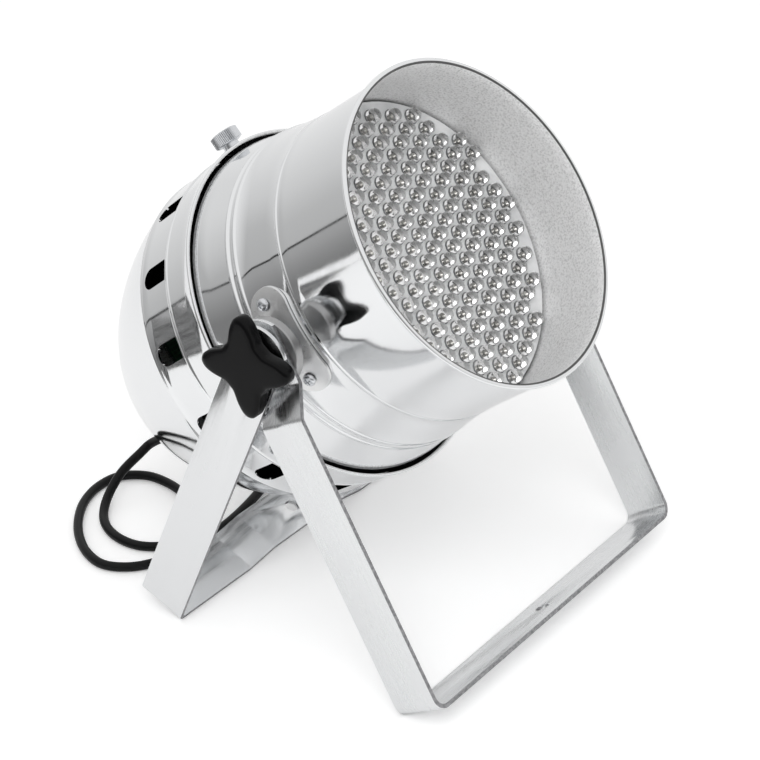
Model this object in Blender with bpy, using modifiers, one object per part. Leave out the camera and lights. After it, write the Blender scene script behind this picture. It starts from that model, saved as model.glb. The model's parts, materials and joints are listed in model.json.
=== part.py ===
"""A led par can: a spun aluminium can with a board of led lenses, on a double floor bracket, with its lead."""

import math

import bmesh
import bpy
import numpy as np
from mathutils import Matrix, Vector

MM = 0.001
GAP = 0.3 * MM

# The can, along its axis: each place is a distance behind the plane of the front rim
BARREL_R = 112.0 * MM
BARREL_WALL = 1.0 * MM
BARREL_LENGTH = 158.0 * MM
RIM_LIP = 3.0 * MM
SMALL_BEAD_AT = 72.5 * MM
SMALL_BEAD_HIGH = 1.6 * MM
CONE_END_AT = 109.4 * MM
BAND_STEP = 5.0 * MM
REAR_BAND_R = BARREL_R + BAND_STEP
BEAD_AT = (111.2 * MM, 118.0 * MM)
BEAD_HIGH = 1.2 * MM
BEAD_HALF = 2.2 * MM

HOUSING_LAP = 11.0 * MM
HOUSING_AT = BARREL_LENGTH - HOUSING_LAP
HOUSING_OVER = 9.6 * MM
HOUSING_R = REAR_BAND_R + HOUSING_OVER
HOUSING_WALL = 1.2 * MM
HOUSING_LIP = 1.0 * MM
HOUSING_LIP_LONG = 3.0 * MM
HOUSING_BAND_LONG = 29.7 * MM
HOUSING_BAND_TAPER = 2.7 * MM
SHOULDER_AT = HOUSING_AT + HOUSING_BAND_LONG
SHOULDER_R = HOUSING_R - HOUSING_BAND_TAPER
VENT_CONE_LONG = 49.6 * MM
VENT_CONE_TAPER = 17.0 * MM
CREASE_AT = SHOULDER_AT + VENT_CONE_LONG
CREASE_R = SHOULDER_R - VENT_CONE_TAPER
DOME_LONG = 74.7 * MM
DOME_END_AT = CREASE_AT + DOME_LONG
DOME_REACH = 104.7 * MM
DOME_POWER = 1.7
BACK_OPENING_R = 56.0 * MM

VENTS = 14
VENT_WIDE = 16.0 * MM
VENT_MARGIN = 1.8 * MM
VENT_CUT_DEEP = 30.0 * MM

# The led board and what stands behind it
BOARD_AT = 58.75 * MM
BOARD_THICK = 2.0 * MM
BOARD_CLEAR = 0.8 * MM
LENS_R = 5.0 * MM
LENS_HIGH = 8.7 * MM
LENS_SHOULDER = 5.2 * MM
LENS_PITCH = 13.39 * MM
LENS_TURN = math.radians(26)
LENS_FIELD_MARGIN = 7.4 * MM
LENS_FIELD_R = BARREL_R - LENS_FIELD_MARGIN
CARRIER_AT = 80.0 * MM
CARRIER_THICK = 1.5 * MM
CARRIER_DEEP = 23.0 * MM
SPACER_R = 3.5 * MM
SPACER_RING_R = 88.0 * MM
DRIVER_SIZE = (120 * MM, 72 * MM, 1.6 * MM)
DRIVER_UP = 42.0 * MM
DRIVER_STANDOFF = 8.0 * MM
SUPPLY_SIZE = (112 * MM, 62 * MM, 36 * MM)
SUPPLY_UP = -44.0 * MM

# The pivot and what is stacked on it, outwards along X
TILT = math.radians(38.2)
PIVOT_AT = 95.5 * MM
PIVOT_BELOW = 3.9 * MM
SIDE_PLATE_THICK = 2.0 * MM
SIDE_PLATE_HALF_WIDE = 15.0 * MM
SIDE_PLATE_HALF_LONG = 38.0 * MM
SIDE_PLATE_AHEAD = 1.9 * MM
SIDE_SCREW_SPREAD = 28.0 * MM
SCREW_R = 2.0 * MM
SCREW_HEAD_R = 4.5 * MM
SCREW_HEAD_HIGH = 2.8 * MM
STUD_R = 5.0 * MM
STUD_BOSS_R = 13.0 * MM
STUD_CLEAR = 0.4 * MM
BOSS_HIGH = 9.2 * MM
DISC_R = 23.75 * MM
DISC_THICK = 7.0 * MM
STRIP_THICK = 3.0 * MM
WASHER_R = 12.0 * MM
WASHER_THICK = 5.4 * MM
KNOB_TIP_R = 35.0 * MM
KNOB_VALLEY_R = 19.0 * MM
KNOB_LOBES = 4
KNOB_TURN = math.radians(6.5)
KNOB_THICK = 11.0 * MM
KNOB_HUB_R = 13.0 * MM
KNOB_HUB_HIGH = 2.2 * MM
KNOB_EDGE = 2.2 * MM
STUD_IN_KNOB = 8.0 * MM

# The two brackets: each a bent strip, its length taken from the pivot to the face of its cross bar
FRONT_LEAN = math.radians(30.93)
FRONT_WIDE = 35.5 * MM
FRONT_LONG = 254.5 * MM
FRONT_STEP_FROM = 24.0 * MM
FRONT_STEP_TO = 44.0 * MM
FRONT_STEP_OUT = 12.4 * MM
FRONT_BEND_R = 9.0 * MM
FRONT_TOP_R = 24.3 * MM
REAR_WIDE = 36.7 * MM
REAR_LONG = 238.6 * MM
REAR_BEND_R = 4.0 * MM
REAR_TOP_R = 24.3 * MM
REAR_RAISED = 6.5 * MM
REAR_RAMP_FROM = 66.0 * MM
REAR_RAMP_TO = 42.0 * MM
CLAMP_HOLE_R = 5.0 * MM
LEG_CLEARANCE = 1.0 * MM

# What joins the barrel to the rear housing
BRACKET_WIDE = 14.0 * MM
BRACKET_THICK = 1.5 * MM
BRACKET_CLEAR = 0.6 * MM
STRAP_FOOT_LONG = 11.0 * MM
STRAP_BEND_IN = 3.0 * MM
STRAP_BEND_LONG = 4.0 * MM
STRAP_SEAT_LONG = 17.0 * MM
BRACKET_FROM = HOUSING_AT - STRAP_FOOT_LONG
BRACKET_BEND_FROM = HOUSING_AT + STRAP_BEND_IN
BRACKET_BEND_TO = BRACKET_BEND_FROM + STRAP_BEND_LONG
BRACKET_TO = BRACKET_BEND_TO + STRAP_SEAT_LONG
THUMB_IN = 14.5 * MM
THUMB_AT = HOUSING_AT + THUMB_IN
THUMB_SHANK_R = 3.0 * MM
THUMB_NECK_R = 6.0 * MM
THUMB_NECK_HIGH = 4.6 * MM
THUMB_HEAD_R = 10.3 * MM
THUMB_HEAD_HIGH = 9.4 * MM

# The rear panel, its plan seen from behind: to the right, up
PANEL_R = 62.0 * MM
PANEL_THICK = 2.0 * MM
SOCKET_RIGHT = 30.0 * MM
SOCKET_UP = 2.0 * MM
SOCKET_R = 10.8 * MM
SOCKET_FLANGE_R = 13.5 * MM
SOCKET_FLANGE_THICK = 2.0 * MM
SOCKET_DEEP = 18.0 * MM
SOCKET_BORE_R = 8.8 * MM
SOCKET_BORE_DEEP = 11.0 * MM
CONTACT_R = 1.2 * MM
CONTACT_RING_R = 4.3 * MM
LATCH_SIZE = (7.0 * MM, 4.0 * MM, 3.0 * MM)
DISPLAY_SIZE = (36 * MM, 13 * MM, 2.6 * MM)
DISPLAY_UP = 40.0 * MM
BUTTONS = 4
BUTTON_R = 3.3 * MM
BUTTON_PITCH = 13.0 * MM
BUTTON_UP = 24.0 * MM
BUTTON_PROUD = 2.2 * MM
BUTTON_TRAVEL = 0.5 * MM
CONTROL_SIZE = (62 * MM, 34 * MM, 1.6 * MM)
CONTROL_UP = 32.0 * MM
CONTROL_BEHIND = 12.0 * MM
POST_R = 2.5 * MM
GLAND_RIGHT = 20.0 * MM
GLAND_UP = -26.0 * MM
GLAND_R = 9.5 * MM
GLAND_THREAD_R = 6.2 * MM
GLAND_BODY_HIGH = 6.0 * MM
GLAND_CAP_HIGH = 10.0 * MM
RELIEF_LONG = 26.0 * MM
RELIEF_R = 5.4 * MM

# The lead: its free stretch lies in two loops behind the can and ends in a plug
LEAD_R = 3.5 * MM
LEAD_STEP = 2.6 * 2 * LEAD_R
PLUG_R = 18.5 * MM
PLUG_LONG = 36.0 * MM
PLUG_NECK_R = 7.0 * MM
PLUG_PIN_R = 2.4 * MM
PLUG_PIN_LONG = 19.0 * MM
PLUG_PIN_SPREAD = 9.5 * MM
PIN_SEAT = 6.0 * MM

# Derived places
PIVOT_HEIGHT = FRONT_LONG * math.cos(FRONT_LEAN) + FRONT_WIDE / 2 * math.sin(FRONT_LEAN)
REAR_DIAGONAL = math.hypot(REAR_LONG, REAR_WIDE / 2)
REAR_LEAN = math.atan2(REAR_WIDE / 2, REAR_LONG) + math.acos(PIVOT_HEIGHT / REAR_DIAGONAL)


def barrel_radius(at):
    """Outer radius of the barrel, beads left out: straight in front, then opening to the rear band."""
    if at <= SMALL_BEAD_AT:
        return BARREL_R
    share = min((at - SMALL_BEAD_AT) / (CONE_END_AT - SMALL_BEAD_AT), 1.0)
    return BARREL_R + share * (REAR_BAND_R - BEAD_HIGH / 2 - BARREL_R)


def dome_radius(at):
    """Outer radius of the rear dome, which starts at the crease."""
    share = (at - CREASE_AT) / DOME_REACH
    return CREASE_R * (1 - share**DOME_POWER) ** (1 / DOME_POWER)


def housing_radius(at):
    """Outer radius of the straight front part of the rear housing."""
    share = (at - HOUSING_AT) / (SHOULDER_AT - HOUSING_AT)
    return HOUSING_R + share * (SHOULDER_R - HOUSING_R)


CONE_SLOPE = (barrel_radius(CONE_END_AT) - BARREL_R) / (CONE_END_AT - SMALL_BEAD_AT)
PLATE_FACE_X = barrel_radius(PIVOT_AT) + GAP + SIDE_PLATE_THICK
BOSS_FROM = PLATE_FACE_X + GAP
BOSS_TO = BOSS_FROM + BOSS_HIGH
DISC_FROM = BOSS_TO + GAP
DISC_TO = DISC_FROM + DISC_THICK
FRONT_LEG_FROM = DISC_TO + GAP
FRONT_LEG_TO = FRONT_LEG_FROM + STRIP_THICK
WASHER_FROM = FRONT_LEG_TO + GAP
WASHER_TO = WASHER_FROM + WASHER_THICK
REAR_LEG_FROM = WASHER_TO + GAP
REAR_LEG_TO = REAR_LEG_FROM + STRIP_THICK
KNOB_FROM = REAR_LEG_TO + GAP
PANEL_AT = DOME_END_AT + GAP
PANEL_FACE_AT = PANEL_AT + PANEL_THICK

# Clean scene and the two collections
for old in list(bpy.data.objects):
    bpy.data.objects.remove(old, do_unlink=True)
parts = bpy.data.collections.new("led_par_can")
cutters = bpy.data.collections.new("cutters")
bpy.context.scene.collection.children.link(parts)
bpy.context.scene.collection.children.link(cutters)


def material(name, colour, roughness, metallic=0.0):
    """A Principled material of one colour."""
    made = bpy.data.materials.new(name)
    made.use_nodes = True
    shader = made.node_tree.nodes["Principled BSDF"]
    shader.inputs["Base Color"].default_value = (*colour, 1.0)
    shader.inputs["Roughness"].default_value = roughness
    shader.inputs["Metallic"].default_value = metallic
    return made


polished = material("polished_aluminium", (0.91, 0.92, 0.92), 0.08, 1.0)
satin = material("satin_aluminium", (0.72, 0.72, 0.73), 0.35, 1.0)
steel = material("zinc_plated_steel", (0.66, 0.67, 0.68), 0.28, 1.0)
lens_clear = material("clear_lens_on_white_board", (0.80, 0.81, 0.82), 0.12)
board_green = material("green_circuit_board", (0.02, 0.14, 0.06), 0.45)
black_gloss = material("black_moulded_plastic", (0.012, 0.012, 0.013), 0.22)
black_satin = material("black_satin_plastic", (0.02, 0.02, 0.02), 0.5)
black_rubber = material("black_rubber", (0.015, 0.015, 0.016), 0.55)
brass = material("nickel_plated_brass", (0.7, 0.68, 0.62), 0.25, 1.0)


def empty(name, parent, location=(0, 0, 0), rotation=(0, 0, 0)):
    """A frame that pieces hang from."""
    made = bpy.data.objects.new(name, None)
    made.empty_display_size = 0.03
    parts.objects.link(made)
    made.parent = parent
    made.location = location
    made.rotation_euler = rotation
    return made


def piece(name, mesh, finish, parent, location=(0, 0, 0), rotation=(0, 0, 0)):
    """One solid of the model; with no finish it is a cutter."""
    made = bpy.data.objects.new(name, mesh)
    made.parent = parent
    made.location = location
    made.rotation_euler = rotation
    if finish is None:
        cutters.objects.link(made)
        made.hide_render = True
        made.display_type = "WIRE"
        return made
    parts.objects.link(made)
    mesh.materials.append(finish)
    mesh.shade_smooth()
    mesh.set_sharp_from_angle(angle=math.radians(32))
    return made


def mesh_of(bm, name):
    """The finished mesh of a bmesh, its faces pointing out."""
    bmesh.ops.recalc_face_normals(bm, faces=bm.faces)
    made = bpy.data.meshes.new(name)
    bm.to_mesh(made)
    bm.free()
    return made


def rod(radius, low, high, sides=24, centre=(0, 0)):
    """A cylinder along Z from low to high."""
    bm = bmesh.new()
    place = Matrix.Translation((centre[0], centre[1], (low + high) / 2))
    bmesh.ops.create_cone(
        bm, cap_ends=True, segments=sides, radius1=radius, radius2=radius, depth=high - low, matrix=place
    )
    return mesh_of(bm, "rod")


def block(size, centre=(0, 0, 0)):
    """A box of this size about its centre."""
    bm = bmesh.new()
    bmesh.ops.create_cube(bm, size=1, matrix=Matrix.Translation(centre) @ Matrix.Diagonal((*size, 1)))
    return mesh_of(bm, "block")


def lofted(rings):
    """A closed skin through rings of equally many points, the first ring lowest."""
    bm = bmesh.new()
    layers = [[bm.verts.new(point) for point in ring] for ring in rings]
    for below, above in zip(layers, layers[1:]):
        for i in range(len(below)):
            j = (i + 1) % len(below)
            bm.faces.new((below[i], below[j], above[j], above[i]))
    bm.faces.new(layers[0][::-1])
    bm.faces.new(layers[-1])
    bmesh.ops.triangulate(bm, faces=[face for face in bm.faces if len(face.verts) > 4])
    return mesh_of(bm, "lofted")


def joined(meshes):
    """Several meshes in one, as one operand of a Boolean."""
    bm = bmesh.new()
    for mesh in meshes:
        bm.from_mesh(mesh)
    return mesh_of(bm, "joined")


def turned(name, profile, finish, parent, location=(0, 0, 0), rotation=(0, 0, 0), steps=32, ring=False):
    """A turned solid: (radius, height) points run down its outer side; a ring's profile closes on itself."""
    mesh = bpy.data.meshes.new(name)
    count = len(profile)
    edges = [(i, i + 1) for i in range(count - 1)]
    if ring:
        edges.append((count - 1, 0))
    mesh.from_pydata([(radius, 0, height) for radius, height in profile], edges, [])
    made = piece(name, mesh, finish, parent, location, rotation)
    screw = made.modifiers.new("Turn", "SCREW")
    screw.axis = "Z"
    screw.angle = 2 * math.pi
    screw.steps = steps
    screw.render_steps = steps
    screw.use_merge_vertices = True
    screw.merge_threshold = 0.00001
    return made


def cut(target, cutter, operation="DIFFERENCE"):
    """Cuts, joins or trims a piece with another object."""
    boolean = target.modifiers.new(operation.title(), "BOOLEAN")
    boolean.operation = operation
    boolean.object = cutter
    boolean.solver = "EXACT"


def outline_mesh(outline, thickness):
    """A flat outline in XY, as thick as this about z = 0, made from a filled curve."""
    curve = bpy.data.curves.new("outline", "CURVE")
    curve.dimensions = "2D"
    curve.fill_mode = "BOTH"
    curve.extrude = thickness / 2
    spline = curve.splines.new("POLY")
    spline.points.add(len(outline) - 1)
    for point, (x, y) in zip(spline.points, outline):
        point.co = (x, y, 0, 1)
    spline.use_cyclic_u = True
    holder = bpy.data.objects.new("outline", curve)
    bpy.context.scene.collection.objects.link(holder)
    graph = bpy.context.evaluated_depsgraph_get()
    mesh = bpy.data.meshes.new_from_object(holder.evaluated_get(graph))
    bpy.data.objects.remove(holder, do_unlink=True)
    bm = bmesh.new()
    bm.from_mesh(mesh)
    bmesh.ops.remove_doubles(bm, verts=bm.verts, dist=0.000001)
    return mesh_of(bm, "outline")


def arc(centre, radius, start, end, steps):
    """Points along an arc, angles in radians."""
    angles = np.linspace(start, end, steps + 1)
    return [(centre[0] + radius * math.cos(t), centre[1] + radius * math.sin(t)) for t in angles]


def rounded(points, radii, steps=4):
    """An open path with each inner corner rounded to its radius."""
    path = [Vector(points[0])]
    for before, corner, after, radius in zip(points, points[1:], points[2:], radii):
        corner = Vector(corner)
        back = (Vector(before) - corner).normalized()
        ahead = (Vector(after) - corner).normalized()
        reach = radius / math.tan(back.angle(ahead) / 2)
        start, end = corner + back * reach, corner + ahead * reach
        for step in range(steps + 1):
            share = step / steps
            path.append(start.lerp(corner, share).lerp(corner.lerp(end, share), share))
    path.append(Vector(points[-1]))
    return path


def ribbon(path, thickness):
    """The closed outline of a strip of this thickness bent along a path."""
    sides = ([], [])
    for i, here in enumerate(path):
        before = (here - path[max(i - 1, 0)]).normalized() if i else (path[1] - here).normalized()
        after = (path[i + 1] - here).normalized() if i < len(path) - 1 else before
        along = (before + after).normalized()
        across = Vector((-along.y, along.x)) * (thickness / 2 / max(along.dot(after), 0.5))
        sides[0].append(here + across)
        sides[1].append(here - across)
    return [tuple(point) for point in sides[0] + sides[1][::-1]]


def face_outwards(side):
    """Turns a piece so that its local Z points outwards along X, on the left (-1) or the right (1)."""
    return (0, side * math.pi / 2, 0)


# Frames: the pivot axis, the can's axis through the rim plane, and the rear panel's face
stand = empty("stand", None, (0, 0, PIVOT_HEIGHT))
can_forward = Vector((0, -math.cos(TILT), math.sin(TILT)))
can_up = Vector((0, math.sin(TILT), math.cos(TILT)))
rim_centre = can_forward * PIVOT_AT + can_up * PIVOT_BELOW
can_axis = empty("can_axis", stand, rim_centre, (math.pi / 2 - TILT, 0, 0))
panel_face = empty("panel_face", can_axis, (0, 0, -PANEL_FACE_AT), (0, math.pi, 0))
SIDES = {"left": -1, "right": 1}


def side_screw_places():
    """The four side screws: a name, and the angle round the can's axis at which each points outwards."""
    places = []
    for name, side in SIDES.items():
        for i, across in enumerate((-SIDE_SCREW_SPREAD, SIDE_SCREW_SPREAD)):
            angle = math.asin((across - PIVOT_BELOW) / PLATE_FACE_X)
            places.append((f"{name}_{i + 1}", angle if side > 0 else math.pi - angle))
    return places


def screw_holes():
    """Cutters for the side screws, through plate, barrel and carrier."""
    low, high = BARREL_R * 0.8, PLATE_FACE_X + SCREW_HEAD_HIGH
    made = []
    for name, angle in side_screw_places():
        turn = (0, math.pi / 2, angle)
        mesh = rod(SCREW_R + GAP, low, high, 12)
        made.append(piece(f"cut_screw_{name}", mesh, None, can_axis, (0, 0, -PIVOT_AT), turn))
    return made


SIDE_SCREW_CUTS = screw_holes()


def make_barrel():
    """The spun barrel: a rolled rim, a small bead, a cone to the rear band, and a pair of beads."""
    lip = arc((BARREL_R + RIM_LIP / 2, RIM_LIP / 2), RIM_LIP / 2, -math.pi / 2, math.pi / 2, 4)
    band_start = BEAD_AT[1] + BEAD_HALF
    outer = [(radius, -at) for radius, at in lip]
    outer.append((BARREL_R, -(RIM_LIP + 0.5 * MM)))
    outer.append((BARREL_R, -(SMALL_BEAD_AT - BEAD_HALF)))
    outer.append((BARREL_R + SMALL_BEAD_HIGH, -SMALL_BEAD_AT))
    outer.append((barrel_radius(SMALL_BEAD_AT + BEAD_HALF), -(SMALL_BEAD_AT + BEAD_HALF)))
    outer.append((barrel_radius(BEAD_AT[0] - BEAD_HALF), -(BEAD_AT[0] - BEAD_HALF)))
    outer.append((REAR_BAND_R + BEAD_HIGH / 2, -BEAD_AT[0]))
    outer.append((REAR_BAND_R - BEAD_HIGH / 2, -(BEAD_AT[0] + BEAD_AT[1]) / 2))
    outer.append((REAR_BAND_R + BEAD_HIGH, -BEAD_AT[1]))
    outer.append((REAR_BAND_R, -band_start))
    outer.append((REAR_BAND_R, -BARREL_LENGTH))
    inner = [(BARREL_R - BARREL_WALL, 0)]
    inner.append((BARREL_R - BARREL_WALL, -SMALL_BEAD_AT))
    inner.append((barrel_radius(CONE_END_AT) - BARREL_WALL, -CONE_END_AT))
    inner.append((REAR_BAND_R - BARREL_WALL, -band_start))
    inner.append((REAR_BAND_R - BARREL_WALL, -BARREL_LENGTH))
    barrel = turned("front_barrel", outer + inner[::-1], polished, can_axis, steps=48, ring=True)
    for cutter in SIDE_SCREW_CUTS:
        cut(barrel, cutter)
    return barrel


def make_housing():
    """The rear housing: a rolled rim, a straight band, the vent cone and the dome, open at the back."""
    lip_end = HOUSING_AT + HOUSING_LIP_LONG
    outer = [(housing_radius(HOUSING_AT) + HOUSING_LIP, HOUSING_AT)]
    outer.append((housing_radius(lip_end) + HOUSING_LIP, lip_end))
    outer.append((housing_radius(lip_end), lip_end + HOUSING_LIP))
    outer.append((SHOULDER_R, SHOULDER_AT))
    for at in np.linspace(CREASE_AT, DOME_END_AT, 7):
        outer.append((dome_radius(at), at))
    outer.append((BACK_OPENING_R, DOME_END_AT))
    inner = [(housing_radius(HOUSING_AT) - HOUSING_WALL, HOUSING_AT)]
    inner.append((SHOULDER_R - HOUSING_WALL, SHOULDER_AT))
    for at in np.linspace(CREASE_AT, DOME_END_AT - 8 * MM, 6):
        inner.append((dome_radius(at) - HOUSING_WALL * 1.2, at))
    inner.append((dome_radius(DOME_END_AT) - HOUSING_WALL, DOME_END_AT - HOUSING_WALL))
    inner.append((BACK_OPENING_R, DOME_END_AT - HOUSING_WALL))
    profile = [(radius, -at) for radius, at in outer + inner[::-1]]
    # Turned a little, so that no facet edge runs down the middle of a vent
    turn = (0, 0, math.radians(2))
    housing = turned("rear_housing", profile, polished, can_axis, rotation=turn, steps=60, ring=True)
    slope = math.atan2(SHOULDER_R - CREASE_R, CREASE_AT - SHOULDER_AT)
    long = math.hypot(SHOULDER_R - CREASE_R, CREASE_AT - SHOULDER_AT) - VENT_MARGIN * 2
    half = VENT_WIDE / 2
    shape = [(-half, -VENT_MARGIN), (-half, half - long)]
    shape += arc((0, half - long), half, math.pi, 2 * math.pi, 6)[1:-1]
    shape += [(half, half - long), (half, -VENT_MARGIN)]
    slots = []
    for i in range(VENTS):
        slot = outline_mesh(shape, VENT_CUT_DEEP)
        # The outline lies in XY with its straight edge up; it is stood along the cone and carried round
        slot.transform(Matrix.Rotation(math.pi / 2, 4, "X"))
        slot.transform(Matrix.Rotation(-slope, 4, "X"))
        slot.transform(Matrix.Translation((0, SHOULDER_R, -SHOULDER_AT)))
        slot.transform(Matrix.Rotation(2 * math.pi * i / VENTS, 4, "Z"))
        slots.append(slot)
    cut(housing, piece("cut_vents", joined(slots), None, can_axis))
    return housing


def led_places():
    """The centres of the lenses: a square lattice, turned, inside the round field."""
    places = []
    reach = int(LENS_FIELD_R / LENS_PITCH) + 2
    for i in range(-reach, reach):
        for j in range(-reach, reach):
            u, v = (i + 0.5) * LENS_PITCH, (j + 0.5) * LENS_PITCH
            x = u * math.cos(LENS_TURN) - v * math.sin(LENS_TURN)
            y = u * math.sin(LENS_TURN) + v * math.cos(LENS_TURN)
            if math.hypot(x, y) < LENS_FIELD_R:
                places.append((x, y))
    return places


def make_led_board():
    """The board with its field of bullet lenses, fused to it."""
    bm = bmesh.new()
    sunk = BOARD_THICK / 2
    for x, y in led_places():
        place = Matrix.Translation((x, y, -BOARD_AT + (LENS_SHOULDER - sunk) / 2))
        new = bmesh.ops.create_cone(
            bm,
            cap_ends=True,
            segments=6,
            radius1=LENS_R,
            radius2=LENS_R,
            depth=LENS_SHOULDER + sunk,
            matrix=place,
        )
        top = [vertex for vertex in new["verts"] if vertex.co.z > -BOARD_AT + LENS_SHOULDER / 2]
        lid = [face for face in top[0].link_faces if len(face.verts) == len(top)]
        tip = bmesh.ops.poke(bm, faces=lid)["verts"][0]
        tip.co.z = -BOARD_AT + LENS_HIGH
    lenses = piece("add_lenses", mesh_of(bm, "lenses"), None, can_axis)
    radius = BARREL_R - BARREL_WALL - BOARD_CLEAR
    disc = rod(radius, -BOARD_AT - BOARD_THICK, -BOARD_AT, 48)
    board = piece("led_board", disc, lens_clear, can_axis)
    cut(board, lenses, "UNION")
    return board


def make_carrier():
    """The pan that carries the boards: its flange follows the barrel's cone and takes the side screws."""
    wall = CARRIER_THICK
    back = CARRIER_AT + CARRIER_DEEP
    clear = BARREL_WALL + GAP
    front_r, back_r = barrel_radius(CARRIER_AT) - clear, barrel_radius(back) - clear
    profile = [(0, -CARRIER_AT), (front_r, -CARRIER_AT), (back_r, -back), (back_r - wall, -back)]
    profile += [(front_r - wall, -CARRIER_AT - wall), (0, -CARRIER_AT - wall)]
    carrier = turned("board_carrier", profile, satin, can_axis, steps=48)
    for cutter in SIDE_SCREW_CUTS:
        cut(carrier, cutter)
    face = -CARRIER_AT - wall
    bosses = []
    for x in (-1, 1):
        for y in (-1, 1):
            spot = (x * DRIVER_SIZE[0] * 0.42, DRIVER_UP + y * DRIVER_SIZE[1] * 0.36)
            bosses.append(rod(SPACER_R, face - DRIVER_STANDOFF, face + wall / 2, 10, spot))
    cut(carrier, piece("add_bosses", joined(bosses), None, can_axis), "UNION")
    for i in range(3):
        angle = math.pi / 2 + i * math.tau / 3
        spot = (SPACER_RING_R * math.cos(angle), SPACER_RING_R * math.sin(angle))
        low, high = -CARRIER_AT + GAP, -BOARD_AT - BOARD_THICK - GAP
        piece(f"board_spacer_{i + 1}", rod(SPACER_R, low, high, 10, spot), steel, can_axis)
    return carrier


def make_electronics():
    """The driver board on the carrier's bosses, and the power supply in its case below it."""
    face = -CARRIER_AT - CARRIER_THICK - DRIVER_STANDOFF - GAP
    length, width, thick = DRIVER_SIZE
    centre = face - thick / 2
    board = piece("driver_board", block(DRIVER_SIZE, (0, DRIVER_UP, centre)), board_green, can_axis)
    low, high = centre - 15 * MM, centre
    tall = [rod(6 * MM, low, high, 12, (x * length, DRIVER_UP - width / 4)) for x in (-0.3, -0.15, 0.0)]
    sinks = [block((8 * MM, width / 2, 12 * MM), (x * length, DRIVER_UP, centre - 6 * MM)) for x in (0.2, 0.36)]
    cut(board, piece("add_components", joined(tall + sinks), None, can_axis), "UNION")
    face = -CARRIER_AT - CARRIER_THICK - GAP
    length, width, high = SUPPLY_SIZE
    supply = piece("power_supply", block(SUPPLY_SIZE, (0, SUPPLY_UP, face - high / 2)), satin, can_axis)
    rounding = supply.modifiers.new("Edges", "BEVEL")
    rounding.width = 1.5 * MM
    rounding.segments = 1


def pan_screw(seat, end):
    """The profile of a pan-head screw, its head on the seat and its shank down to the end."""
    top = seat + SCREW_HEAD_HIGH
    profile = [(0, top), (SCREW_HEAD_R * 0.7, top), (SCREW_HEAD_R, top - SCREW_HEAD_HIGH / 2)]
    return profile + [(SCREW_HEAD_R, seat), (SCREW_R, seat), (SCREW_R, end), (0, end)]


def make_side_plates():
    """The curved plate on each side of the barrel, held by two screws, that carries the pivot stud."""
    centre_at = PIVOT_AT - SIDE_PLATE_AHEAD
    ends = (centre_at - SIDE_PLATE_HALF_WIDE - 2 * MM, CONE_END_AT + 1 * MM)
    inside = [(barrel_radius(at) + GAP, -at) for at in ends]
    outside = [(radius + SIDE_PLATE_THICK, height) for radius, height in inside]
    half, reach = SIDE_PLATE_HALF_WIDE, SIDE_PLATE_HALF_LONG - SIDE_PLATE_HALF_WIDE
    shape = arc((0, reach), half, 0, math.pi, 8) + arc((0, -reach), half, math.pi, 2 * math.pi, 8)
    for name, side in SIDES.items():
        plate = turned(f"side_plate_{name}", outside + inside[::-1], polished, can_axis, steps=96, ring=True)
        blank = outline_mesh(shape, BARREL_R)
        blank.transform(Matrix.Translation((0, 0, BARREL_R)))
        place = (0, -PIVOT_BELOW, -centre_at)
        cut(plate, piece(f"trim_plate_{name}", blank, None, can_axis, place, face_outwards(side)), "INTERSECT")
        for cutter in SIDE_SCREW_CUTS:
            cut(plate, cutter)
    for name, angle in side_screw_places():
        seat = PLATE_FACE_X + SCREW_HEAD_R * abs(CONE_SLOPE) + GAP
        profile = pan_screw(seat, seat - 9 * MM)
        turn = (0, math.pi / 2, angle)
        turned(f"side_plate_screw_{name}", profile, steel, can_axis, (0, 0, -PIVOT_AT), turn, 12)


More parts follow.
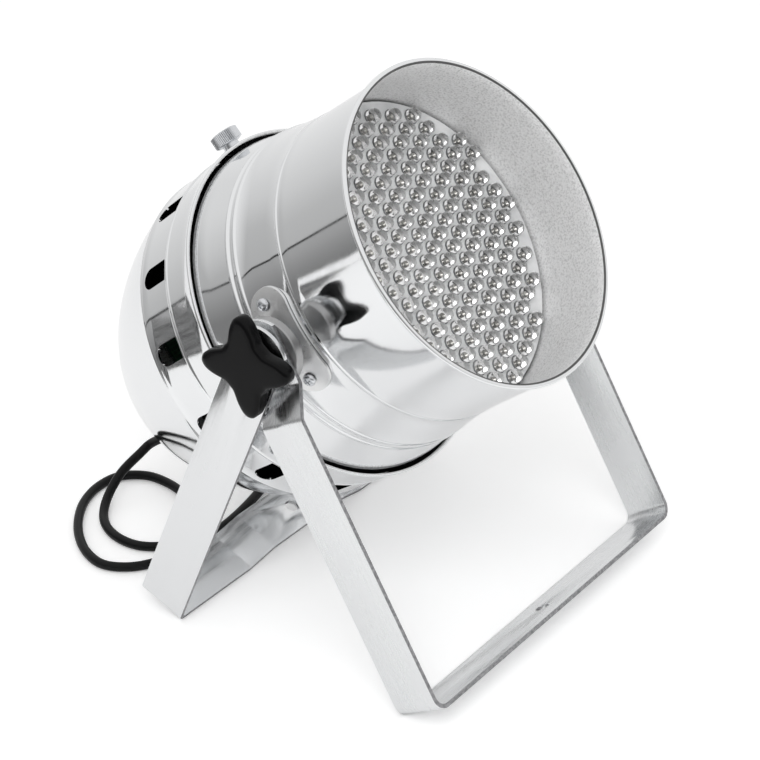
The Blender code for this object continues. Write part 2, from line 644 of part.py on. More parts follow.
def make_pivots():
    """On each side, outwards from the side plate: stud and boss, friction disc, washer and clamping knob."""
    count = 48
    mean, swing = (KNOB_TIP_R + KNOB_VALLEY_R) / 2, (KNOB_TIP_R - KNOB_VALLEY_R) / 2
    body_from = KNOB_FROM + KNOB_HUB_HIGH
    levels = [(0, KNOB_EDGE), (0.3 * KNOB_EDGE, 0.3 * KNOB_EDGE), (KNOB_EDGE, 0)]
    levels += [(KNOB_THICK - height, inset) for height, inset in levels[::-1]]
    stars = []
    for height, inset in levels:
        stars.append([])
        for angle in np.arange(count) * math.tau / count:
            radius = mean + swing * math.cos(KNOB_LOBES * angle) - inset
            spot = (radius * math.cos(angle + KNOB_TURN), radius * math.sin(angle + KNOB_TURN))
            stars[-1].append((*spot, body_from + height))
    bore = STUD_R + STUD_CLEAR
    stud_end = KNOB_FROM + STUD_IN_KNOB
    # The boss is shaped to the curve of the side plate that it stands on
    ends = (SMALL_BEAD_AT, 2 * PIVOT_AT - SMALL_BEAD_AT)
    face = [(PLATE_FACE_X + (at - PIVOT_AT) * CONE_SLOPE + GAP, -at) for at in ends]
    inside = [(BARREL_R * 0.7, height) for _, height in face]
    seat_ring = turned("cut_boss_seat", face + inside[::-1], None, can_axis, steps=96, ring=True)
    for name, side in SIDES.items():
        turn = face_outwards(side)
        profile = [(0, stud_end), (STUD_R - 1 * MM, stud_end), (STUD_R, stud_end - 1 * MM), (STUD_R, BOSS_TO)]
        profile += [(STUD_BOSS_R, BOSS_TO), (STUD_BOSS_R, BOSS_FROM - 4 * MM), (0, BOSS_FROM - 4 * MM)]
        stud = turned(f"pivot_stud_{name}", profile, steel, stand, rotation=turn, steps=24)
        cut(stud, seat_ring)
        edge = 0.8 * MM
        profile = [(bore, DISC_TO), (DISC_R - edge, DISC_TO), (DISC_R, DISC_TO - edge)]
        profile += [(DISC_R, DISC_FROM + edge), (DISC_R - edge, DISC_FROM), (bore, DISC_FROM)]
        turned(f"friction_disc_{name}", profile, satin, stand, rotation=turn, steps=32, ring=True)
        profile = [(bore, WASHER_TO), (WASHER_R, WASHER_TO), (WASHER_R, WASHER_FROM), (bore, WASHER_FROM)]
        turned(f"spacer_washer_{name}", profile, satin, stand, rotation=turn, steps=24, ring=True)
        knob = piece(f"knob_{name}", lofted(stars), black_gloss, stand, rotation=turn)
        middle = body_from + KNOB_THICK / 2
        hub = rod(KNOB_HUB_R, KNOB_FROM, middle, 24)
        cut(knob, piece(f"add_hub_{name}", hub, None, stand, rotation=turn), "UNION")
        hole = rod(bore, KNOB_FROM - 1 * MM, stud_end + 2 * GAP, 16)
        cut(knob, piece(f"cut_knob_{name}", hole, None, stand, rotation=turn))


def strip(name, half_path, width, top_r, holes):
    """A bracket bent from flat strip: its path on one side mirrored, its ends rounded about the pivot."""
    path = half_path + [Vector((-point.x, point.y)) for point in half_path[::-1]]
    mesh = outline_mesh(ribbon(path, STRIP_THICK), width)
    mesh.transform(Matrix.Rotation(math.pi / 2, 4, "X"))
    bracket = piece(name, mesh, polished, stand)
    half = width / 2 + 1 * MM
    start = math.asin(half / top_r)
    length = max(-point.y for point in path) * 1.2
    end = arc((0, 0), top_r, math.pi / 2 + start, math.pi / 2 - start, 8)
    shape = [(-half, -length)] + end + [(half, -length)]
    span = max(point.x for point in path) * 4
    blank = outline_mesh(shape, span)
    # The side view of the strip, stood up in YZ and run through both legs
    blank.transform(Matrix(((0, 0, 1, 0), (1, 0, 0, 0), (0, 1, 0, 0), (0, 0, 0, 1))))
    cut(bracket, piece(f"trim_{name}", blank, None, bracket), "INTERSECT")
    through = rod(STUD_R + STUD_CLEAR, -span / 2, span / 2, 20)
    cut(bracket, piece(f"cut_{name}_pivot", through, None, bracket, rotation=face_outwards(1)))
    long = max(-point.y for point in path)
    clamp = rod(CLAMP_HOLE_R, -long - 10 * MM, -long + 20 * MM, 20)
    cut(bracket, piece(f"cut_{name}_clamp", clamp, None, bracket))
    for cutter in holes:
        cut(bracket, cutter)
    return bracket


def make_brackets():
    """The two brackets: the front one steps outwards below the pivot and so passes outside the rear one."""
    half_thick = STRIP_THICK / 2
    inner_x, outer_x = FRONT_LEG_FROM + half_thick, FRONT_LEG_FROM + half_thick + FRONT_STEP_OUT
    bar = -(FRONT_LONG - half_thick)
    corners = [(inner_x, FRONT_TOP_R + 2 * MM), (inner_x, -FRONT_STEP_FROM), (outer_x, -FRONT_STEP_TO)]
    corners += [(outer_x, bar), (0, bar)]
    front_path = rounded(corners, (6 * MM, 6 * MM, FRONT_BEND_R))[:-1]
    # The rear leg, a little larger all round, notches the step where it passes
    notch_size = (STRIP_THICK + 2 * LEG_CLEARANCE, REAR_WIDE + 2 * LEG_CLEARANCE, FRONT_STEP_TO * 3)
    notches = []
    for name, side in SIDES.items():
        centre = (side * (REAR_LEG_FROM + half_thick), 0, -notch_size[2] / 2)
        mesh = block(notch_size, centre)
        notches.append(piece(f"cut_notch_{name}", mesh, None, stand, rotation=(REAR_LEAN, 0, 0)))
    front = strip("front_bracket", front_path, FRONT_WIDE, FRONT_TOP_R, notches)
    front.rotation_euler = (-FRONT_LEAN, 0, 0)
    leg_x = REAR_LEG_FROM + half_thick
    bar = -(REAR_LONG - half_thick)
    corners = [(leg_x, REAR_TOP_R + 2 * MM), (leg_x, bar), (REAR_RAMP_FROM, bar)]
    corners += [(REAR_RAMP_TO, bar + REAR_RAISED), (0, bar + REAR_RAISED)]
    rear_path = rounded(corners, (REAR_BEND_R, 3 * MM, 3 * MM), 3)[:-1]
    rear = strip("rear_bracket", rear_path, REAR_WIDE, REAR_TOP_R, [])
    rear.rotation_euler = (REAR_LEAN, 0, 0)


def make_joining_brackets():
    """Three cranked straps that hold the housing round the barrel; the top one takes the thumb screw."""
    foot_r = REAR_BAND_R + GAP + BRACKET_THICK / 2
    below = HOUSING_WALL + BRACKET_CLEAR + BRACKET_THICK / 2
    seat_a = housing_radius(BRACKET_BEND_TO) - below
    seat_b = housing_radius(BRACKET_TO) - below
    path = [Vector((BRACKET_FROM, foot_r)), Vector((BRACKET_BEND_FROM, foot_r))]
    path += [Vector((BRACKET_BEND_TO, seat_a)), Vector((BRACKET_TO, seat_b))]
    slope = math.atan2(HOUSING_R - SHOULDER_R, SHOULDER_AT - HOUSING_AT)
    housing = bpy.data.objects["rear_housing"]
    wall_r = housing_radius(THUMB_AT)
    for i, name in enumerate(("top", "left", "right")):
        turn = i * math.tau / 3
        mesh = outline_mesh(ribbon(path, BRACKET_THICK), BRACKET_WIDE)
        # (place, radius, across) becomes (across, radius, -place)
        mesh.transform(Matrix(((0, 0, 1, 0), (0, 1, 0, 0), (-1, 0, 0, 0), (0, 0, 0, 1))))
        strap = piece(f"housing_strap_{name}", mesh, steel, can_axis, rotation=(0, 0, turn))
        spoke = empty(f"screw_axis_{name}", can_axis, rotation=(0, 0, turn))
        lean = empty(f"screw_seat_{name}", spoke, (0, wall_r, -THUMB_AT), (-math.pi / 2 - slope, 0, 0))
        shank = THUMB_SHANK_R if name == "top" else SCREW_R
        hole = piece(f"cut_strap_{name}", rod(shank + GAP, -12 * MM, 12 * MM, 14), None, lean)
        cut(strap, hole)
        cut(housing, hole)
        if name == "top":
            neck, head = GAP + THUMB_NECK_HIGH, GAP + THUMB_NECK_HIGH + THUMB_HEAD_HIGH
            edge = 0.8 * MM
            profile = [(0, head), (THUMB_HEAD_R - edge, head), (THUMB_HEAD_R, head - edge)]
            profile += [(THUMB_HEAD_R, neck + edge), (THUMB_HEAD_R - edge, neck), (THUMB_NECK_R, neck)]
            profile += [(THUMB_NECK_R, GAP), (shank, GAP), (shank, -6 * MM), (0, -6 * MM)]
            turned("thumb_screw", profile, steel, lean, steps=24)
            continue
        turned(f"housing_screw_{name}", pan_screw(GAP, -5 * MM), steel, lean, steps=12)


def make_rear_panel():
    """The panel closing the back, with display, buttons, the two data sockets and the gland."""
    back = -PANEL_THICK
    panel = piece("rear_panel", rod(PANEL_R, back, 0, 40), satin, panel_face)
    posts = []
    for x in (-1, 1):
        spot = (x * (CONTROL_SIZE[0] / 2 - 4 * MM), CONTROL_UP)
        posts.append(rod(POST_R, -CONTROL_BEHIND + GAP, back / 2, 10, spot))
    cut(panel, piece("add_posts", joined(posts), None, panel_face), "UNION")
    board_centre = (0, CONTROL_UP, -CONTROL_BEHIND - CONTROL_SIZE[2] / 2)
    piece("control_board", block(CONTROL_SIZE, board_centre), board_green, panel_face)
    wide, high, thick = DISPLAY_SIZE
    holes = [block((wide + 2 * GAP, high + 2 * GAP, 4 * thick), (0, DISPLAY_UP, 0))]
    glass = block(DISPLAY_SIZE, (0, DISPLAY_UP, GAP - thick / 2))
    window = piece("display_window", glass, black_gloss, panel_face)
    rounding = window.modifiers.new("Edges", "BEVEL")
    rounding.width = 0.4 * MM
    rounding.segments = 1
    for i in range(BUTTONS):
        x = (i - (BUTTONS - 1) / 2) * BUTTON_PITCH
        holes.append(rod(BUTTON_R + GAP, -6 * MM, 6 * MM, 16, (x, BUTTON_UP)))
        low = -CONTROL_BEHIND + GAP + BUTTON_TRAVEL
        edge = 0.6 * MM
        profile = [(0, BUTTON_PROUD), (BUTTON_R - edge, BUTTON_PROUD), (BUTTON_R, BUTTON_PROUD - edge)]
        profile += [(BUTTON_R, low), (0, low)]
        turned(f"button_{i + 1}", profile, black_satin, panel_face, (x, BUTTON_UP, 0), steps=16)
    for name, side in (("dmx_in_socket", -1), ("dmx_out_socket", 1)):
        place = (side * SOCKET_RIGHT, SOCKET_UP, 0)
        holes.append(rod(SOCKET_R + GAP, -6 * MM, 6 * MM, 24, place[:2]))
        top = GAP + SOCKET_FLANGE_THICK
        floor = top - SOCKET_BORE_DEEP
        mouth = [(0, floor), (SOCKET_BORE_R, floor), (SOCKET_BORE_R, top)] if side < 0 else [(0, top)]
        profile = mouth + [(SOCKET_FLANGE_R, top), (SOCKET_FLANGE_R, GAP), (SOCKET_R, GAP)]
        profile += [(SOCKET_R, top - SOCKET_DEEP), (0, top - SOCKET_DEEP)]
        socket = turned(name, profile, black_satin, panel_face, place, steps=24)
        contacts = []
        for angle in (math.pi * 0.75, math.pi * 0.25, -math.pi / 2):
            spot = (CONTACT_RING_R * math.cos(angle), CONTACT_RING_R * math.sin(angle))
            low, high = (floor - 1 * MM, top - 2 * MM) if side < 0 else (floor, top + 1 * MM)
            contacts.append(rod(CONTACT_R, low, high, 8, spot))
        kind = "UNION" if side < 0 else "DIFFERENCE"
        cut(socket, piece(f"contacts_{name}", joined(contacts), None, panel_face, place), kind)
    wide, high, thick = LATCH_SIZE
    centre = (SOCKET_RIGHT, SOCKET_UP + SOCKET_FLANGE_R + 1.5 * MM + high / 2, GAP + thick / 2)
    piece("socket_latch", block(LATCH_SIZE), steel, panel_face, centre)
    spot = (GLAND_RIGHT, GLAND_UP)
    holes.append(rod(GLAND_THREAD_R + GAP, -6 * MM, 6 * MM, 20, spot))
    cut(panel, piece("cut_panel", joined(holes), None, panel_face))


def make_gland():
    """The cable gland: a threaded hexagonal body through the panel, its cap nut and the bend relief."""
    place = (GLAND_RIGHT, GLAND_UP, 0)
    body_top = GAP + GLAND_BODY_HIGH
    profile = [(0, body_top), (GLAND_R, body_top), (GLAND_R, GAP)]
    hexagon = turned("cable_gland", profile + [(0, GAP)], black_satin, panel_face, place, steps=6)
    thread = rod(GLAND_THREAD_R, -PANEL_THICK - 6 * MM, body_top / 2, 20)
    cut(hexagon, piece("add_thread", thread, None, panel_face, place), "UNION")
    low, top = body_top + GAP, body_top + GAP + GLAND_CAP_HIGH
    profile = [(0, top), (RELIEF_R + 1 * MM, top), (GLAND_R - 1 * MM, top - 4 * MM)]
    profile += [(GLAND_R - 1 * MM, low), (0, low)]
    turned("gland_cap_nut", profile, black_satin, panel_face, place, steps=24)
    low = top + GAP
    top = low + RELIEF_LONG
    profile = [(0, top), (LEAD_R + 0.8 * MM, top)]
    ribs = 4
    for i in range(ribs):
        share = (i + 0.5) / ribs
        radius = LEAD_R + 0.8 * MM + share * (RELIEF_R - LEAD_R - 0.8 * MM)
        height = top - share * RELIEF_LONG
        profile += [(radius, height + 1.6 * MM), (radius - 0.7 * MM, height + 0.8 * MM)]
        profile += [(radius - 0.7 * MM, height - 0.8 * MM), (radius, height - 1.6 * MM)]
    profile += [(RELIEF_R, low), (0, low)]
    turned("bend_relief", profile, black_rubber, panel_face, place, steps=12)
    return Vector((GLAND_RIGHT, GLAND_UP, top + GAP))


def smooth_points(route, step):
    """Points read at this spacing from one smooth curve through the route's own points."""
    route = np.array(route)
    ends = (2 * route[0] - route[1], 2 * route[-1] - route[-2])
    route = np.vstack([ends[0], route, ends[1]])
    fine = []
    for a, b, c, d in zip(route, route[1:], route[2:], route[3:]):
        for t in np.linspace(0, 1, 24, endpoint=False):
            bend = 2 * b + (c - a) * t + (2 * a - 5 * b + 4 * c - d) * t * t + (3 * b - a - 3 * c + d) * t**3
            fine.append(bend / 2)
    fine.append(route[-2])
    fine = np.array(fine)
    along = np.concatenate([[0], np.cumsum(np.linalg.norm(np.diff(fine, axis=0), axis=1))])
    places = np.linspace(0, along[-1], max(int(round(along[-1] / step)), 2) + 1)
    return np.stack([np.interp(places, along, fine[:, k]) for k in range(3)], axis=1), along[-1]


def tube(name, points, radius, finish, parent, resolution=2):
    """A tube along a polyline."""
    curve = bpy.data.curves.new(name, "CURVE")
    curve.dimensions = "3D"
    curve.bevel_depth = radius
    curve.bevel_resolution = resolution
    curve.use_fill_caps = True
    spline = curve.splines.new("POLY")
    spline.points.add(len(points) - 1)
    for point, place in zip(spline.points, points):
        point.co = (*place, 1)
    curve.materials.append(finish)
    made = bpy.data.objects.new(name, curve)
    parts.objects.link(made)
    made.parent = parent
    return made


# The lead's route past the bend relief, in millimetres: right and back of the pivot, and up from the floor
LEAD_ROUTE = [
    (-28, 208, 33), (-41, 216, 20), (-57, 215, 10), (-73, 207, 4.5), (-86, 193, 3.6), (-93, 175, 3.6),
    (-92, 156, 3.6), (-81, 141, 3.6), (-63, 137, 3.6), (-45, 143, 3.6), (-30, 156, 3.6), (-19, 174, 3.6),
    (-13, 195, 3.6), (-14, 216, 3.6), (-27, 232, 3.6), (-48, 235, 3.6), (-70, 229, 3.6), (-91, 216, 3.6),
    (-108, 200, 3.6), (-121, 181, 3.6), (-126, 161, 3.6), (-117, 143, 3.6), (-99, 131, 3.6), (-77, 125, 3.6),
    (-52, 123, 3.6), (-26, 124, 3.6), (0, 128, 3.6), (26, 134, 3.6), (52, 139, 3.6), (78, 145, 3.6),
    (103, 156, 3.6), (124, 172, 3.6), (138, 193, 3.6), (140, 214, 3.6), (131, 233, 3.6), (109, 242, 6.5),
    (91, 236, 11), (81, 224, 16.5),
]
PLUG_PLACE = (78, 197, 18.6)


def make_lead(gland_end):
    """The free lead in two loops on the floor, its plug at the end, and the tail from the gland to the supply."""
    bpy.context.view_layer.update()
    to_stand = stand.matrix_world.inverted()
    out = can_forward * -1
    start = to_stand @ panel_face.matrix_world @ gland_end
    route = [tuple(start), tuple(start + out * 2 * LEAD_R), tuple(start + out * 4 * LEAD_R)]
    route += [(x * MM, y * MM, z * MM - PIVOT_HEIGHT) for x, y, z in LEAD_ROUTE]
    x, y, z = PLUG_PLACE
    entry = Vector((x * MM, y * MM, z * MM - PIVOT_HEIGHT))
    route += [tuple(entry + Vector((0, 2 * LEAD_R, 0))), tuple(entry)]
    points, length = smooth_points(route, LEAD_STEP)
    tube("mains_lead", points, LEAD_R, black_rubber, stand)
    far = [
        np.linalg.norm(a - b)
        for i, a in enumerate(points)
        for j, b in enumerate(points)
        if j - i > 5
    ]
    least = (min(far) - 2 * LEAD_R) * 1000
    print(f"lead {length * 1000:.0f} mm long, {len(points)} points, least gap {least:.1f} mm")
    low = PLUG_LONG
    profile = [(0, 0), (PLUG_NECK_R, 0), (PLUG_NECK_R + 1.5 * MM, -9 * MM), (PLUG_R * 0.8, -14 * MM)]
    profile += [(PLUG_R, -17 * MM), (PLUG_R, -low), (0, -low)]
    # The plug lies on its side and points forwards
    place = entry - Vector((0, GAP, 0))
    rotation = (-math.pi / 2, 0, 0)
    plug = turned("plug_body", profile, black_rubber, stand, place, rotation, steps=20)
    sockets = []
    for i, side in enumerate((-1, 1)):
        spot = (side * PLUG_PIN_SPREAD, 0)
        sockets.append(rod(PLUG_PIN_R + GAP, -low - 1 * MM, -low + PIN_SEAT, 12, spot))
        pin = rod(PLUG_PIN_R, -low - PLUG_PIN_LONG, -low + PIN_SEAT - GAP, 12, spot)
        piece(f"plug_pin_{i + 1}", pin, brass, stand, place, rotation)
    cut(plug, piece("cut_plug", joined(sockets), None, stand, place, rotation))
    return length


def make_tail():
    """The supply's inner lead, from the gland's thread to the supply's case."""
    start = Vector((-GLAND_RIGHT, GLAND_UP, -PANEL_AT + 6 * MM + GAP))
    end = Vector((0, SUPPLY_UP, -CARRIER_AT - CARRIER_THICK - 2 * GAP - SUPPLY_SIZE[2]))
    inward = Vector((0, 0, 1))
    route = [start, start + inward * 20 * MM, start.lerp(end, 0.35) + Vector((0, -12 * MM, 0))]
    route += [start.lerp(end, 0.7) + Vector((0, -6 * MM, 0)), end - inward * 20 * MM, end]
    points, length = smooth_points([tuple(point) for point in route], LEAD_STEP)
    tube("supply_lead", points, LEAD_R, black_rubber, can_axis)


make_barrel()
make_housing()
make_led_board()
make_carrier()
make_electronics()
make_side_plates()
make_pivots()
make_brackets()
make_joining_brackets()
make_rear_panel()
make_lead(make_gland())
make_tail()

# The stand is moved so that the origin lies on the floor under the middle of everything but the lead
ON_LEAD = ("mains_lead", "plug_body", "plug_pin_1", "plug_pin_2", "bend_relief")
bpy.context.view_layer.update()
depsgraph = bpy.context.evaluated_depsgraph_get()
low, high = Vector((9, 9, 9)), Vector((-9, -9, -9))
for solid in parts.objects:
    if solid.type != "MESH" or solid.name in ON_LEAD:
        continue
    shown = solid.evaluated_get(depsgraph)
    mesh = shown.to_mesh()
    for vertex in mesh.vertices:
        place = shown.matrix_world @ vertex.co
        low = Vector(map(min, low, place))
        high = Vector(map(max, high, place))
    shown.to_mesh_clear()
stand.location -= Vector(((low.x + high.x) / 2, (low.y + high.y) / 2, low.z))
bpy.context.view_layer.update()
print("box without the lead, mm", [round((b - a) * 1000, 1) for a, b in zip(low, high)])
print("pivot axis, m", [round(x, 5) for x in stand.location])
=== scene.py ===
import json
import math

import bpy
from mathutils import Matrix, Vector


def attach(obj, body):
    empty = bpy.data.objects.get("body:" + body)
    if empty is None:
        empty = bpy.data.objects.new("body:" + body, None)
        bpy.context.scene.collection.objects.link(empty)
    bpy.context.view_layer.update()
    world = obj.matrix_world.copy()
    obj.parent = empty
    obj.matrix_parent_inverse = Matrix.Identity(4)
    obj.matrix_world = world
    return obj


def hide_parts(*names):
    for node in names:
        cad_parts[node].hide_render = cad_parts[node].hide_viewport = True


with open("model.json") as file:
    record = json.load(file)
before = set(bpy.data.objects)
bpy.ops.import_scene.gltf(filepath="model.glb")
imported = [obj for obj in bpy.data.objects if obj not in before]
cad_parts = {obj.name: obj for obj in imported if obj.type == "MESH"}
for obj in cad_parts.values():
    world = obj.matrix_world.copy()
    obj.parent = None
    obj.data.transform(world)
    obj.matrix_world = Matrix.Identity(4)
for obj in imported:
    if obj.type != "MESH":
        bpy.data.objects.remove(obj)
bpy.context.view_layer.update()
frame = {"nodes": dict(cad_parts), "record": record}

# The studio, seen from where the photograph was taken: a white floor that runs out of view, soft light
# from all round and one large lamp high on the left.
MM = 0.001
PIVOT = Vector(frame["record"]["behaviour"]["joints"][0]["pos_m"])
turn_left, look_down = math.radians(-54.44), math.radians(28.75)
level = math.cos(look_down)
back = Vector((math.sin(turn_left) * level, -math.cos(turn_left) * level, math.sin(look_down)))
right = Vector((math.cos(turn_left), math.sin(turn_left), 0))
bpy.ops.object.camera_add()
camera = bpy.context.object
aim = Matrix((right, back.cross(right), back)).transposed().to_4x4()
camera.matrix_world = Matrix.Translation(PIVOT + Vector((-1.1916, -0.8438, 0.7226))) @ aim
camera.data.sensor_width = 36
camera.data.lens = 114.51
bpy.context.scene.camera = camera
bpy.context.scene.view_settings.view_transform = "Standard"


def linear(code):
    """An sRGB hex colour as linear RGBA."""
    values = [int(code[i : i + 2], 16) / 255 for i in (0, 2, 4)]
    return tuple(v / 12.92 if v <= 0.04045 else ((v + 0.055) / 1.055) ** 2.4 for v in values) + (1.0,)


def add_node(tree, kind, settings=None, links=None):
    """Adds a node with its settings, by input or by property, and the links into it."""
    node = tree.nodes.new(kind)
    for key, value in (settings or {}).items():
        if isinstance(key, int) or key in node.inputs:
            node.inputs[key].default_value = value
        else:
            setattr(node, key, value)
    for key, source in (links or {}).items():
        tree.links.new(source, node.inputs[key])
    return node


def ramp(tree, source, stops):
    """A colour ramp through (place, hex colour) stops."""
    node = add_node(tree, "ShaderNodeValToRGB", links={"Fac": source})
    while len(node.color_ramp.elements) < len(stops):
        node.color_ramp.elements.new(0.5)
    for element, (place, code) in zip(node.color_ramp.elements, stops):
        element.position = place
        element.color = linear(code)
    return node.outputs["Color"]


def spread(tree, source, ranges):
    """A value carried over from one range to another, from 0 to 1 where none is given."""
    return add_node(tree, "ShaderNodeMapRange", ranges, {"Value": source}).outputs["Result"]


# Camera rays that miss the floor see white. Gloss sees the room: a grey wall that brightens to the right,
# the dark edge where it meets the paper, which runs askew, and a white ceiling.
world = bpy.data.worlds.new("studio")
bpy.context.scene.world = world
world.use_nodes = True
tree = world.node_tree
tree.nodes.clear()
rays = add_node(tree, "ShaderNodeLightPath")
way = add_node(tree, "ShaderNodeTexCoord").outputs["Generated"]
split = add_node(tree, "ShaderNodeSeparateXYZ", links={0: way})
across = spread(tree, split.outputs["X"], {"From Min": -0.6, "From Max": 0.7})
wall = ramp(tree, across, [
    (0.0, "b4b4b4"), (0.25, "bebebe"), (0.46, "d2d2d2"), (0.75, "e2e2e2"), (1.0, "ececec"),
])
askew = {"operation": "DOT_PRODUCT", 1: (0.577, 0.302, 0.758)}
height = add_node(tree, "ShaderNodeVectorMath", askew, {0: way})
edge = spread(tree, height.outputs["Value"], {"From Min": -0.3, "From Max": 0.1})
below = ramp(tree, edge, [
    (0.0, "b4b4b4"), (0.6, "e4e4e4"), (0.72, "e8e8e8"), (0.735, "484848"), (0.765, "484848"),
    (0.78, "ffffff"), (1.0, "ffffff"),
])
left_side = {"From Min": -0.3, "From Max": -0.1, "To Min": 1, "To Max": 0}
sided = spread(tree, split.outputs["X"], left_side)
shading = {"data_type": "RGBA", "blend_type": "MULTIPLY"}
shaded = add_node(tree, "ShaderNodeMix", shading, {0: sided, 6: wall, 7: below})
overhead = spread(tree, split.outputs["Z"], {"From Min": 0.28, "From Max": 0.6})
ceiling = {"data_type": "RGBA", 7: linear("f2f2f2")}
room = add_node(tree, "ShaderNodeMix", ceiling, {0: overhead, 6: shaded.outputs[2]})
by_gloss = {0: rays.outputs["Is Glossy Ray"], 1: rays.outputs["Is Transmission Ray"]}
gloss = add_node(tree, "ShaderNodeMath", {"operation": "MAXIMUM"}, by_gloss)
lit = add_node(tree, "ShaderNodeBackground", {"Color": linear("ffffff"), "Strength": 0.76})
seen = add_node(tree, "ShaderNodeBackground", {"Color": linear("ffffff")})
mirrored = add_node(tree, "ShaderNodeBackground", links={"Color": room.outputs[2]})
soft_links = {0: gloss.outputs[0], 1: lit.outputs[0], 2: mirrored.outputs[0]}
soft = add_node(tree, "ShaderNodeMixShader", links=soft_links)
whole_links = {0: rays.outputs["Is Camera Ray"], 1: soft.outputs[0], 2: seen.outputs[0]}
whole = add_node(tree, "ShaderNodeMixShader", links=whole_links)
add_node(tree, "ShaderNodeOutputWorld", links={"Surface": whole.outputs[0]})


def new_material(name, values):
    """A material with these values, its node tree and its shader."""
    made = bpy.data.materials.new(name)
    made.use_nodes = True
    shader = made.node_tree.nodes["Principled BSDF"]
    for key, value in values.items():
        shader.inputs[key].default_value = value
    return made, made.node_tree, shader


def mottled(name, noise, stops, values):
    """A material whose colour follows a noise along the stops, its node tree, its shader and the noise."""
    made, tree, shader = new_material(name, values)
    where = add_node(tree, "ShaderNodeTexCoord")
    spots = add_node(tree, "ShaderNodeTexNoise", noise, {"Vector": where.outputs["Object"]})
    tree.links.new(ramp(tree, spots.outputs["Fac"], stops), shader.inputs["Base Color"])
    return made, tree, shader, spots


# A round white paper, a little self-lit to the camera and in the metal, so that it is the white of the
# background and still takes the shadow.
bpy.ops.mesh.primitive_circle_add(vertices=96, radius=1.5, fill_type="NGON", location=(0, 0, 0))
floor = bpy.context.object
floor.name = "studio_floor"
paper, tree, shader = new_material(
    "white paper floor", {"Base Color": linear("fdfdfd"), "Roughness": 0.9, "Specular IOR Level": 0.1}
)
rays = add_node(tree, "ShaderNodeLightPath")
to_camera = {"operation": "MULTIPLY", 1: 0.2}
looked_at = add_node(tree, "ShaderNodeMath", to_camera, {0: rays.outputs["Is Camera Ray"]})
to_gloss = {"operation": "MULTIPLY_ADD", 1: 0.03}
lift = add_node(tree, "ShaderNodeMath", to_gloss, {0: rays.outputs["Is Glossy Ray"], 2: looked_at.outputs[0]})
glow = add_node(tree, "ShaderNodeEmission", {"Color": linear("ffffff")}, {"Strength": lift.outputs[0]})
both = add_node(tree, "ShaderNodeAddShader", links={0: shader.outputs[0], 1: glow.outputs[0]})
tree.links.new(both.outputs[0], tree.nodes["Material Output"].inputs["Surface"])
floor.data.materials.append(paper)

# The lamp. Gloss doesn't see it, so no bright square stands in the metal.
bpy.ops.object.light_add(type="AREA", location=(-1.6, -0.9, 2.2))
lamp = bpy.context.object
lamp.name = "large_soft_lamp"
lamp.data.size = 1.6
lamp.data.energy = 24
lamp.rotation_euler = (Vector((0, 0, 0.15)) - lamp.location).to_track_quat("-Z", "Y").to_euler()
lamp.visible_glossy = False

# A dark card stands on the paper at the left, out of the picture. Only polished metal shows it, as the
# streaks along the barrel.
CARD_WIDE, CARD_HIGH = 0.36, 0.15
bpy.ops.mesh.primitive_plane_add(size=1)
card = bpy.context.object
card.name = "studio_dark_card"
card.matrix_world = (
    Matrix.Translation((PIVOT.x - 0.36, PIVOT.y + 0.46, CARD_HIGH / 2))
    @ Matrix.Rotation(math.radians(38), 4, "Z")
    @ Matrix.Rotation(math.pi / 2, 4, "X")
    @ Matrix.Diagonal((CARD_WIDE, CARD_HIGH, 1, 1))
)
card.visible_camera = card.visible_diffuse = card.visible_shadow = card.visible_transmission = False
cloth = bpy.data.materials.new("dark card")
cloth.use_nodes = True
tree = cloth.node_tree
tree.nodes.clear()
where = add_node(tree, "ShaderNodeTexCoord")
tall = add_node(tree, "ShaderNodeMapping", {"Scale": (1.5, 15, 1)}, {"Vector": where.outputs["Object"]})
folds = add_node(tree, "ShaderNodeTexNoise", {"Scale": 1, "Detail": 3}, {"Vector": tall.outputs["Vector"]})
streaks = ramp(tree, folds.outputs["Fac"], [
    (0.40, "1c1c1c"), (0.46, "9a9a9a"), (0.50, "3c3c3c"), (0.55, "a4a4a4"), (0.60, "303030"),
])
dark = add_node(tree, "ShaderNodeEmission", links={"Color": streaks})
add_node(tree, "ShaderNodeOutputMaterial", links={"Surface": dark.outputs[0]})
card.data.materials.append(cloth)

# The lead: black PVC, 7 mm thick, lying in two loops behind the can as it was dropped there,
# and a moulded bend relief where it leaves the gland.
# The can looks up by its tilt. Its axis passes over the pivot, its rim lies ahead of that, and its panel
# behind the rim. The gland's place is on the panel.
TILT = math.radians(38.2)
AXIS_OFF, RIM_AHEAD, PANEL_BEHIND, GLAND_AT = 3.9, 95.5, 303.3, (20, -26)
CAN = (
    Matrix.Translation(PIVOT)
    @ Matrix.Rotation(math.pi / 2 - TILT, 4, "X")
    @ Matrix.Translation((0, AXIS_OFF * MM, RIM_AHEAD * MM))
)
PANEL = CAN @ Matrix.Translation((0, 0, -PANEL_BEHIND * MM)) @ Matrix.Rotation(math.pi, 4, "Y")
LEAD_R, LIES_AT = 3.5, 3.6
LEAD_FALLS = [(-28, 208, 33), (-41, 216, 20), (-57, 215, 10), (-73, 207, 4.5)]
LEAD_LIES = [
    (-86, 193), (-93, 175), (-92, 156), (-81, 141), (-63, 137), (-45, 143), (-30, 156), (-19, 174),
    (-13, 195), (-14, 216), (-27, 232), (-48, 235), (-70, 229), (-91, 216), (-108, 200), (-121, 181),
    (-126, 161), (-117, 143), (-99, 131), (-77, 125), (-52, 123), (-26, 124), (0, 128), (26, 134),
    (52, 139), (78, 145), (103, 156), (124, 172), (138, 193), (140, 214), (130, 232),
]
LEAD_RISES = [(109, 240, 6.5), (91, 236, 11), (81, 224, 16.5)]
lead_points = LEAD_FALLS + [(x, y, LIES_AT) for x, y in LEAD_LIES] + LEAD_RISES
